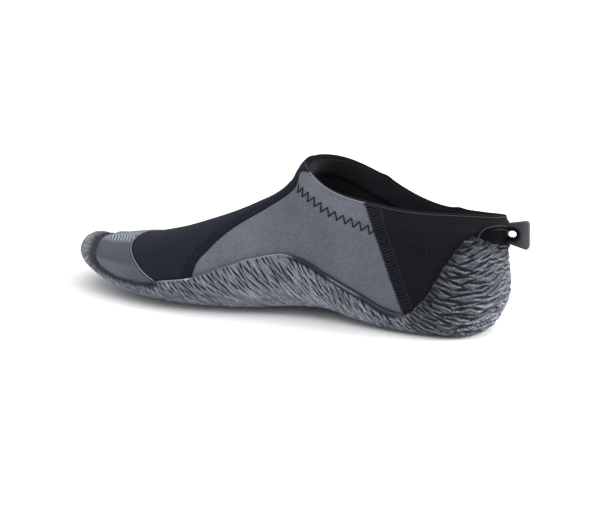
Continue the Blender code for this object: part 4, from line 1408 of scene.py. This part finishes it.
def rubber_thickness(station, share):
    """Rubber outside the upper: thick under the foot's edge, thin up the wall and at the toe."""
    forward = np.clip((station - CAP_SEAM_FOOT) / (TOE_POLE - CAP_SEAM_FOOT), 0, 1)
    wall = RUBBER_WALL + (TOE_RIM_WALL - RUBBER_WALL) * forward
    base = smooth(BOTTOM, "thickness", station)
    low = np.clip(1 - share / WIDEST_SHARE, 0, None)
    return wall[:, None] + (base - wall)[:, None] * low**2


def rubber_top(c):
    """Height of the rubber's edge, scalloped where the strands end on the heel counter."""
    drop = OUTER_TOE_DROP * zone("outer_drop", c["station"]) * (c["side"] < 0)
    scallop = 0.5 * SCALLOP * waves(SCALLOP_WAVES, c["walk"]) * zone("scallop", c["station"])
    return rubber_edge(c) - drop + scallop


def wall_grid(walk):
    """Plain outside of the rubber wall: columns, points under it, normals, points and lengths climbed."""
    c = columns(walk)
    top = share_at(c, rubber_top(c))
    share = even_shares(c, np.zeros(len(walk)), top, WALL_ROWS, LIP_BAND, LIP_ROWS)
    base, normals = surface(c, share, False)
    points = base + normals * (FIT_GAP + rubber_thickness(c["station"], share))[..., None]
    return c, base, normals, points, climb(points)


def wrapped(distance):
    """Distance along the walk the short way round."""
    return np.mod(distance + SIDE_WALK, FULL_WALK) - SIDE_WALK


def strand_field(walk, height, guide):
    """Lean along the walk, pocket length, pitch, width and tilt, and the wall's height, at places on it."""
    walk = np.mod(walk, FULL_WALK)
    station = np.interp(walk, guide["walk"], guide["station"])
    top = np.interp(walk, guide["walk"], guide["top"])
    share = np.clip(height / top, 0, 1)
    foot_lean, top_lean = (smooth(STRANDS, name, station) for name in ("lean_foot", "lean_top"))
    lean = foot_lean * (1 - share) + top_lean * share
    lean = np.where(walk <= SIDE_WALK, lean, 180 - lean)
    sizes = [smooth(STRANDS, name, station) for name in ("length", "pitch", "width", "tilt")]
    return np.radians(lean), *sizes, top


def scatter_pockets(random, guide, size):
    """Lens pockets thrown over the wall, each kept clear of those already there."""
    walk = random.uniform(0, FULL_WALK, POCKET_TRIES)
    height = random.uniform(0, guide["top"].max(), POCKET_TRIES)
    lean, length, pitch, width, tilt, top = strand_field(walk, height, guide)
    way = random.choice((-1.0, 1.0), POCKET_TRIES)
    lean = lean + np.radians(tilt) * way * random.uniform(*TILT_RANGE, POCKET_TRIES)
    length = length * size * random.uniform(*LENGTH_RANGE, POCKET_TRIES)
    pitch = pitch * size * random.uniform(*PITCH_RANGE, POCKET_TRIES)
    inside = (height > POCKET_FOOT) & (height < top + POCKET_PAST_TOP)
    thrown = np.stack((walk, height, lean, length, pitch, width * pitch), axis=1)[inside]
    kept = np.empty((POCKET_TRIES, 5))
    count = 0
    for a, b, turn, long, wide, half in thrown:
        along, across = aligned(wrapped(kept[:count, 0] - a), kept[:count, 1] - b, turn)
        if np.all(np.abs(along) / (POCKET_CLEAR * long) + np.abs(across) / wide > 1):
            kept[count] = (a, b, turn, long, half)
            count += 1
    return kept[:count]


def press(walk, height, pockets):
    """Depth from 0 to 1 of the pockets at each point of a wall grid."""
    depth = np.zeros_like(height)
    for a, b, turn, long, half in pockets:
        away = wrapped(walk - a)
        near = np.flatnonzero(np.abs(away) < LENS_REACH * long + 1)
        if not len(near):
            continue
        along, across = aligned(away[near][:, None], height[near] - b, turn)
        taper = np.clip(1 - (along / (LENS_HALF * long)) ** 2, 0, 1)
        lens = np.clip(1 - np.abs(across) / (half * taper**LENS_TAPER + SLIVER), 0, 1)
        depth[near] = np.maximum(depth[near], ease(lens * LENS_STEEP) * np.sqrt(taper))
    return depth


def streak_map(random, guide):
    """Streaks along the strands: noise drawn out along the lean, on a fine map of the wall."""
    across = int(FULL_WALK / STREAK_CELL)
    up = int(guide["top"].max() / STREAK_CELL) + STREAK_SPARE

    def cells(walk, height):
        """Cells of the map at places on the wall."""
        i = np.mod(np.rint(walk / STREAK_CELL).astype(int), across)
        return i, np.clip(np.rint(height / STREAK_CELL).astype(int), 0, up - 1)

    noise = random.normal(size=(across, up))
    start = np.meshgrid(np.arange(across) * STREAK_CELL, np.arange(up) * STREAK_CELL, indexing="ij")
    total = noise.copy()
    for way in SIDES:
        x, y = start
        for _ in range(STREAK_STEPS):
            lean = strand_field(x.ravel(), y.ravel(), guide)[0].reshape(x.shape)
            x = x + way * STREAK_CELL * np.cos(lean)
            y = y + way * STREAK_CELL * np.sin(lean)
            total += noise[cells(x, y)]
    streak = total / total.std()
    return lambda walk, height: streak[cells(walk[:, None], height)]


def lay_strands():
    """Guide along the wall, and the pockets, cracks and streaks that follow it."""
    random = np.random.default_rng(SEED)
    c, _, _, _, run = wall_grid(np.linspace(0, FULL_WALK, GUIDE_COLUMNS))
    guide = {"walk": c["walk"], "station": c["station"], "top": run[:, -1]}
    pockets = scatter_pockets(random, guide, 1.0)
    cracks = scatter_pockets(random, guide, CRACK_SIZE)
    return guide, pockets, cracks, streak_map(random, guide)


def strength(name, wall):
    """A named size or strength at each point of the wall."""
    return sum(share * getattr(wall, mask) for mask, share in STRENGTHS[name].items())


def wall_masks(c, points, run, strands):
    """Masks of a length of the wall: zones, painted light at the heel's foot, strands, toe fringe, lip
    groove and the cap's seat.
    """
    guide, pockets, cracks, streaks = strands
    walk, station = c["walk"], c["station"][:, None]
    names = ("heel", "waist", "flank", "toe", "tip", "front")
    wall = SimpleNamespace(all=1.0, **{name: zone(name, station) for name in names})
    wall.to_edge = run[:, -1:] - run
    # Painted light: the lower part of the heel's wall is made paler.
    wall.worn = ease((LIT_HEEL_HEIGHT - points[..., 2]) / LIT_HEEL_FADE) * zone("worn_heel", station)
    wall.plain = wall.waist * (1 - ease((run / run[:, -1:] - PLAIN_START) / PLAIN_RISE))
    # Patches along the heel where the lip takes its painted highlight.
    lip_patches = np.clip(waves(LIP_PATCH_WAVES, walk) - LIP_PATCH_LEVEL, 0, 1)[:, None] * zone("lip_patches", station)
    wing = np.maximum(zone("arch", station), SHANK_LIP * zone("shank", station))
    wall.lipped = np.maximum(np.maximum(wing, FORE_LIP * zone("fore", station)), LIP_PATCH_STRENGTH * lip_patches)
    wall.clear = ease((wall.to_edge - CLEAR_START) / CLEAR_RISE) * ease(run / CLEAR_FOOT)
    calm = math.prod(1 - share * getattr(wall, mask) for mask, share in CALM.items())
    wall.pocket = press(walk, run, pockets) * wall.clear * calm
    wall.crack = press(walk, run, cracks) * (1 - wall.pocket) * wall.clear
    streak = np.clip(streaks(walk, run), -STREAK_LIMIT, STREAK_LIMIT)
    wall.streak = streak * smooth(STRANDS, "streak", station) * wall.clear
    lean = strand_field(walk, run[:, -1], guide)[0][:, None]
    phase = (walk[:, None] - run / np.tan(lean)) / TOE_RIB_PITCH + waves(FRINGE_SWAY, walk)[:, None]
    wall.fringe = np.cos(phase * 2 * math.pi) * wall.clear * wall.tip * strength("fringe", wall)
    wall.groove = bell(wall.to_edge - LIP_GROOVE_PLACE, LIP_GROOVE_WIDTH) * np.maximum(wall.flank, wall.toe)
    wall.seat = ease((strength("toe_band", wall) - wall.to_edge) / strength("seat_fade", wall)) * wall.toe
    return wall


def wall_relief(c, points, run, wall):
    """Height of the strands, toe fringe, swell, grooves and rounded lip over the plain wall."""
    station = c["station"][:, None]
    proud = np.where(c["side"][:, None] > 0, zone("inner_rim", station), zone("outer_rim", station))
    swell = TOE_SWELL * proud * bell(wall.to_edge / run[:, -1:] - TOE_SWELL_PLACE, TOE_SWELL_WIDTH)
    bulge = HEEL_BULGE * bell(points[..., 2] - HEEL_BULGE_HEIGHT, HEEL_BULGE_REACH)
    dent = HEEL_DENT * bell(points[..., 2] - HEEL_DENT_HEIGHT, HEEL_DENT_REACH)
    swell = swell + (bulge - dent) * zone("bulge", station)
    depth = POCKET_DEPTH + (HEEL_POCKET_DEPTH - POCKET_DEPTH) * wall.heel
    relief = POCKET_CROWN * wall.clear + STREAK_HEIGHT * wall.streak
    relief = relief - depth * wall.pocket - CRACK_DEPTH * wall.crack
    sunk = LIP_GROOVE * np.maximum(wall.groove, strength("seat_depth", wall) * wall.seat)
    round_off = LIP_RADIUS * (1 - rounded(wall.to_edge / LIP_RADIUS))
    return relief + TOE_RIB_HEIGHT * wall.fringe + swell - sunk - round_off


def wall_tint(c, run, wall):
    """How dark the painted shade and darker streaks and how pale the crests and painted highlights of the
    wall are, from 0 to 1.
    """
    station = c["station"][:, None]
    # Painted shade just under the rubber's top edge, left off where the lip takes its painted highlight.
    rim = ease((strength("rim_reach", wall) - wall.to_edge) / strength("rim_fade", wall))
    rim = strength("rim_dark", wall) * rim * np.clip(1 - wall.lipped, 0, 1)
    # Painted shade along the top edge of the heel counter, under the wing.
    counter = COUNTER_SHADE * ease((COUNTER_REACH - wall.to_edge) / COUNTER_FADE) * zone("counter", station)
    counter = counter * (1 - COUNTER_STREAK * np.clip(wall.streak, 0, 1))
    dim = strength("dim", wall) * np.clip(DIM_WAIST * wall.waist - wall.streak - DIM_START, 0, 1)
    # Painted shade in the pockets, cracks, the lip groove and the cap's seat.
    sunk = ease((wall.pocket - strength("sunk_start", wall)) / strength("sunk_fade", wall))
    fringe = strength("fringe_dark", wall) * np.clip(-wall.fringe, 0, 1)
    layers = (sunk, CRACK_DARK * wall.crack, wall.groove, SEAT_DARK * wall.seat, rim, counter, dim, fringe)
    # Painted highlight along the lip, a painted glint, and painted light on the pockets' upward slopes.
    lip = bell(wall.to_edge - LIP_PALE_PLACE, LIP_PALE_WIDTH) * wall.lipped
    glint = bell(station - GLINT_STATION, GLINT_LENGTH) * bell(wall.to_edge - GLINT_PLACE, GLINT_WIDTH)
    slope = np.clip(np.gradient(wall.pocket, axis=1) / np.gradient(run, axis=1), 0, 1)
    crest = strength("streak_pale", wall) * np.clip(wall.streak, 0, STREAK_PALE_LIMIT) + LIP_PALE * lip
    crest = crest + strength("fringe_pale", wall) * np.clip(wall.fringe, 0, 1)
    crest = crest + strength("slope_highlight", wall) * slope
    crest = crest * (1 - SEAT_CALM * wall.seat) + GLINT * glint * (c["side"][:, None] > 0)
    return np.clip(np.max(layers, axis=0), 0, 1), np.clip(crest, 0, 1)


def make_sole_wall(material):
    """Wall of interlaced strands with lens pockets, in lengths that share their border columns."""
    strands = lay_strands()
    ends = {
        "sole_wall_heel": (-HEEL_SPLIT, HEEL_SPLIT),
        "sole_wall_inner": (HEEL_SPLIT, SIDE_WALK),
        "sole_wall_outer": (SIDE_WALK, FULL_WALK - HEEL_SPLIT),
    }
    for name, (start, end) in ends.items():
        walk = np.linspace(start, end, round((end - start) / SOLE_STEP))
        c, base, normals, points, run = wall_grid(walk)
        wall = wall_masks(c, points, run, strands)
        outer = points + normals * wall_relief(c, points, run, wall)[..., None]
        lip = base + normals * LIP_TUCK
        grid = np.concatenate((outer, lip[:, -1:], lip[:, -LIP_ROWS:1 - LIP_ROWS]), axis=1)
        hollow, crest = wall_tint(c, run, wall)
        blank = np.zeros((len(walk), 2))
        fields = {
            # The first field carries painted shade and darker streaks, the second pale streaks and painted
            # highlights.
            "pocket": np.concatenate((hollow, blank), axis=1),
            "fibre_and_highlight": np.concatenate((crest, blank), axis=1),
            # The dark field mixes in the heel's painted shade in full, and a darker tone at the toe's
            # front.
            "dark": np.repeat(np.maximum(wall.heel, FRONT_DARK * wall.front), grid.shape[1], axis=1),
        }
        faces = grid_faces(len(walk), grid.shape[1])
        make_piece(name, grid, faces, material, fields, "outsole")


TREAD_COLUMNS, TREAD_ROWS, TREAD_DEPTH = 520, 56, 0.9
# The sipes are darkened as painted shade.
TREAD_DARK, TREAD_PALE = 0.8, 0.3
SIPE_PITCH, SIPE_SLANT, SIPE_HALF, SIPE_SLOPE = 7.0, 0.45, 0.3, 0.22
SIPE_END, SIPE_END_FADE, SIPE_MIDDLE, SIPE_MIDDLE_FADE = 0.94, 0.05, 2.0, 1.5
LINER_COLUMNS, LINER_ROWS, LINER_EDGE = 360, 30, 0.06


def underfoot(c, share):
    """Plan, stations and underside heights inside the feather edge, share being 1 at that edge."""
    place = c["base"][:, None, :] + c["direction"][:, None, :] * (c["foot"][:, :1] * share)[..., None]
    station = c["base"][:, :1] * (1 - share) + c["station"][:, None] * share
    return place, station, bottom_height(station, c["side"][:, None], share)


def raised(place, height):
    """Points of a plan at their heights."""
    return np.concatenate((place, height[..., None]), axis=2)


def make_tread(material):
    """Underside with shallow slanted sipes between flat lands."""
    c = columns(np.linspace(0, FULL_WALK, TREAD_COLUMNS, endpoint=False))
    share = np.linspace(0, 1, TREAD_ROWS)[None, :] + np.zeros((TREAD_COLUMNS, 1))
    place, _, floor = underfoot(c, share)
    aside = np.abs(place[..., 1])
    wave = np.abs(np.mod((place[..., 0] + SIPE_SLANT * aside) / SIPE_PITCH, 1.0) - 0.5) * 2
    sipe = ease((SIPE_HALF - wave) / SIPE_SLOPE) * ease((SIPE_END - share) / SIPE_END_FADE)
    sipe = sipe * ease((aside - SIPE_MIDDLE) / SIPE_MIDDLE_FADE)
    points, faces = join_grids([(raised(place, floor + TREAD_DEPTH * sipe), True)])
    fields = {
        # Painted shade in the sipes.
        "pocket": TREAD_DARK * sipe,
        "fibre_and_highlight": np.full(sipe.shape, TREAD_PALE),
        "dark": np.zeros(sipe.shape),
    }
    make_piece("sole_tread", points, faces[:, ::-1], material, fields)


def make_sock_liner(material):
    """Insole on the sole's floor, with a softly rounded edge."""
    c = columns(np.linspace(0, FULL_WALK, LINER_COLUMNS, endpoint=False))
    rows = np.linspace(0, 1, LINER_ROWS)[None, :]
    place, station, under = underfoot(c, rows * (1 - 2 * FIT_GAP / c["foot"][:, :1]))
    floor = under + smooth(BOTTOM, "thickness", station) + FIT_GAP
    top = raised(place, floor + INSOLE_THICKNESS * rounded((1 - rows) / LINER_EDGE))
    points, faces = join_grids([(top, True), (raised(place, floor), True)])
    half = len(faces) // 2
    faces[half:] = faces[half:, ::-1]
    make_piece("sock_liner", points, faces, material, node="insole")


# Pull tab
WING_STEPS, WING_ROWS, WING_UNDER = 110, 30, 3.0
WING_DIP_WIDTH = 0.22
WEB, WEB_EDGE = 0.9, 0.6
RIM_BEAD, RIM_BEAD_PLACE, RIM_BEAD_WIDTH = 0.9, 0.6, 0.4
FOLD, FOLD_PLACE, FOLD_WIDTH, FOLD_END, FOLD_FADE = 0.5, 2.9, 0.35, 0.65, 0.25
FIN_HALF, FIN_WEB_HALF, FIN_SOFT = 2.5, 1.1, 0.7
DISH_RADIUS, DISH_SLOPE = 6.0, 2.6
FIN_ANGLES, FIN_RINGS, CORNER_STEPS = 160, 34, 8
# Painted highlight on the fin's faces and on the wing's bead.
FIN_PALE, FIN_END_START, FIN_END_RISE = 0.45, 4.0, 6.0
WING_PALE = 0.5


def fin_outline():
    """Side outline of the fin: root inside the web, flared end with rounded corners."""
    corners = (
        (FIN_REACH + FIN_CORNER, FIN_TIP_HIGH - FIN_CORNER, 90),
        (FIN_LOW_REACH + FIN_CORNER, FIN_TIP_LOW + FIN_CORNER, 180),
    )
    points = [(FIN_ROOT, FIN_ROOT_HIGH)]
    for x, z, start in corners:
        for k in range(CORNER_STEPS + 1):
            angle = math.radians(start + 90 * k / CORNER_STEPS)
            points.append((x + FIN_CORNER * math.cos(angle), z + FIN_CORNER * math.sin(angle)))
    points.append((FIN_ROOT, FIN_ROOT_LOW))
    return np.array(points + points[:1])


def edge_distance(points, outline):
    """Distance of points in the fin's plane from its outline, by edge."""
    nearest = np.full(points.shape[:2], np.inf)
    for first, second in zip(outline, outline[1:]):
        span = second - first
        t = np.clip(((points - first) @ span) / (span @ span), 0, 1)
        nearest = np.minimum(nearest, np.linalg.norm(points - first - t[..., None] * span, axis=2))
    return nearest


def fin_grids():
    """Both faces of the fin: flat end and flanges round a dished web with the lanyard hole."""
    outline = fin_outline()
    centre = np.array((HOLE_STATION, HOLE_HEIGHT))
    angle = np.linspace(0, 2 * math.pi, FIN_ANGLES, endpoint=False)
    ray = np.stack((np.cos(angle), np.sin(angle)), axis=1)
    far, _, _ = reach(outline, np.repeat(centre[None], FIN_ANGLES, axis=0), ray)
    bore = (HOLE_RADIUS / np.hypot(np.cos(angle), np.sin(angle) / HOLE_SQUASH))[:, None]
    radius = bore + (far[:, None] - bore) * np.linspace(0, 1, FIN_RINGS)[None, :]
    flat = centre + radius[..., None] * ray[:, None, :]
    x, z = flat[..., 0], flat[..., 1]
    beside = np.where(x > HOLE_STATION, np.abs(z - HOLE_HEIGHT), radius)
    dish = ease((DISH_RADIUS - beside) / DISH_SLOPE)
    half = FIN_HALF - (FIN_HALF - FIN_WEB_HALF) * dish
    for distance in (edge_distance(flat, outline), radius - bore):
        half = half - FIN_SOFT * (1 - rounded(distance / FIN_SOFT))
    half = np.maximum(half, 0.0)
    near, away = (np.stack((x, side * half, z), axis=2) for side in SIDES)
    wall = np.stack((near[:, 0], away[:, 0]), axis=1)
    tip = np.stack((near[:, -1], away[:, -1]), axis=1)
    # Painted light: the fin's end is paler, and the dished web is kept dark as painted shade.
    pale = FIN_PALE + (1 - FIN_PALE) * ease((HOLE_STATION - FIN_END_START - x) / FIN_END_RISE)
    return near, away, wall, tip, pale * (1 - dish)


def wing_grid():
    """Web round the heel above the counter, with a raised bead along its upper edge and its ends."""
    turn = np.linspace(-1, 1, WING_STEPS)
    c = columns(WING_WALK * turn)
    low = share_at(c, rubber_edge(c) - WING_UNDER)
    top = WING_TOP + (WING_END_HEIGHT - WING_TOP) * np.abs(turn) ** WING_FALL
    top = top - WING_BACK_DIP * bell(turn, WING_DIP_WIDTH)
    share = even_shares(c, low, share_at(c, top), WING_ROWS)
    grid, normals = surface(c, share, False)
    near = grid_distance(grid, np.concatenate((grid[:, -1], grid[0], grid[-1])))
    fold = bell(grid_distance(grid, grid[:, -1]) - FOLD_PLACE, FOLD_WIDTH)
    fold = fold * ease((FOLD_END - np.abs(turn)) / FOLD_FADE)[:, None]
    bead = np.maximum(bell(near - RIM_BEAD_PLACE, RIM_BEAD_WIDTH), FOLD * fold)
    lift = FIT_GAP + (WEB + RIM_BEAD * bead) * rounded(near / WEB_EDGE)
    return grid + normals * lift[..., None], bead


def make_pull_tab(material):
    """Moulded wings and fin as one piece of rubber."""
    wing, bead = wing_grid()
    near, away, wall, tip, crest = fin_grids()
    points, faces = join_grids([(wing, False), (near, True), (away, True), (wall, True), (tip, True)])
    wing_count = len(grid_faces(*wing.shape[:2]))
    side_count = len(grid_faces(*near.shape[:2], True))
    away_faces = slice(wing_count + side_count, wing_count + 2 * side_count)
    faces[away_faces] = faces[away_faces, ::-1]
    blank = np.zeros(2 * len(wall))
    ends = np.repeat(crest[:, -1], 2)
    # Painted highlight on the wing's bead and the fin's raised faces.
    values = np.concatenate((WING_PALE * bead.ravel(), crest.ravel(), crest.ravel(), blank, ends))
    make_piece("heel_tab", points, faces, material, {"crest": values}, "pull_tab")


neoprene = neoprene_material()
lining = lining_material()
rubber = sole_material()
upper_tree = make_upper(neoprene)
make_lining(lining)
make_seams(
    upper_tree,
    thread_material("zigzag_thread", THREAD_BLACK),
    thread_material("vamp_thread", VAMP_THREAD),
    thread_material("quarter_thread", QUARTER_THREAD),
)
make_toe_cap(cap_material(), thread_material("piping_cord", PIPING_GREY))
make_sole_wall(rubber)
make_tread(rubber)
make_sock_liner(lining)
make_pull_tab(tab_material())

# Stage
FLOOR_HALF, FLOOR_DROP = 4.0, 0.0006
SURROUND = 0.75
CAMERA_AIM = Vector((0.0957, 0.0026, 0.0257))
CAMERA_SIDE, CAMERA_RISE, CAMERA_ROLL = 13.85, 17.58, 3.0
CAMERA_DISTANCE = 1.1
CAMERA_LENS = 105.72


def make_floor():
    """Plain pale floor."""
    corners = [(-1, -1, 0), (1, -1, 0), (1, 1, 0), (-1, 1, 0)]
    mesh = bpy.data.meshes.new("floor")
    mesh.from_pydata([tuple(FLOOR_HALF * k for k in corner) for corner in corners], [], [(0, 1, 2, 3)])
    finish = {"Base_Color": FLOOR_WHITE, "Roughness": 0.9, "Specular_IOR_Level": 0.0}
    material, _, _ = new_material("pale_floor", **finish)
    mesh.materials.append(material)
    floor = bpy.data.objects.new("floor", mesh)
    floor.location.z = -FLOOR_DROP
    bpy.context.scene.collection.objects.link(floor)


def make_light(name, place, aim, size, power):
    """A soft square light that faces a point."""
    lamp = bpy.data.lights.new(name, "AREA")
    lamp.shape = "SQUARE"
    lamp.size = size
    lamp.energy = power
    light = bpy.data.objects.new(name, lamp)
    light.location = place
    light.rotation_mode = "QUATERNION"
    light.rotation_quaternion = (Vector(aim) - Vector(place)).to_track_quat("-Z", "Y")
    bpy.context.scene.collection.objects.link(light)


def make_studio():
    """White surround with a soft overhead light and a lower one behind the heel."""
    world = bpy.data.worlds.new("studio")
    world.use_nodes = True
    background = world.node_tree.nodes["Background"]
    background.inputs["Color"].default_value = (1.0, 1.0, 1.0, 1.0)
    background.inputs["Strength"].default_value = SURROUND
    bpy.context.scene.world = world
    make_light("overhead", place=(0.1, 0.0, 2.2), aim=(0.1, 0.0, 0.0), size=4.0, power=62.0)
    make_light("heel_side", place=(-1.1, -0.3, 0.5), aim=(0.0, 0.0, 0.04), size=0.6, power=20.0)
    bpy.context.scene.view_settings.view_transform = "Standard"


def make_camera():
    """Camera at the photograph's angle."""
    side, rise = math.radians(CAMERA_SIDE), math.radians(CAMERA_RISE)
    back = Vector((-math.sin(side) * math.cos(rise), math.cos(side) * math.cos(rise), math.sin(rise)))
    lens = bpy.data.cameras.new("camera")
    lens.lens = CAMERA_LENS
    lens.sensor_width = 36.0
    lens.clip_start, lens.clip_end = 0.05, 50.0
    camera = bpy.data.objects.new("camera", lens)
    camera.location = CAMERA_AIM + back * CAMERA_DISTANCE
    camera.rotation_mode = "QUATERNION"
    roll = Quaternion((0, 0, 1), math.radians(CAMERA_ROLL))
    camera.rotation_quaternion = (-back).to_track_quat("-Z", "Y") @ roll
    bpy.context.scene.collection.objects.link(camera)
    bpy.context.scene.camera = camera


make_floor()
make_studio()
make_camera()
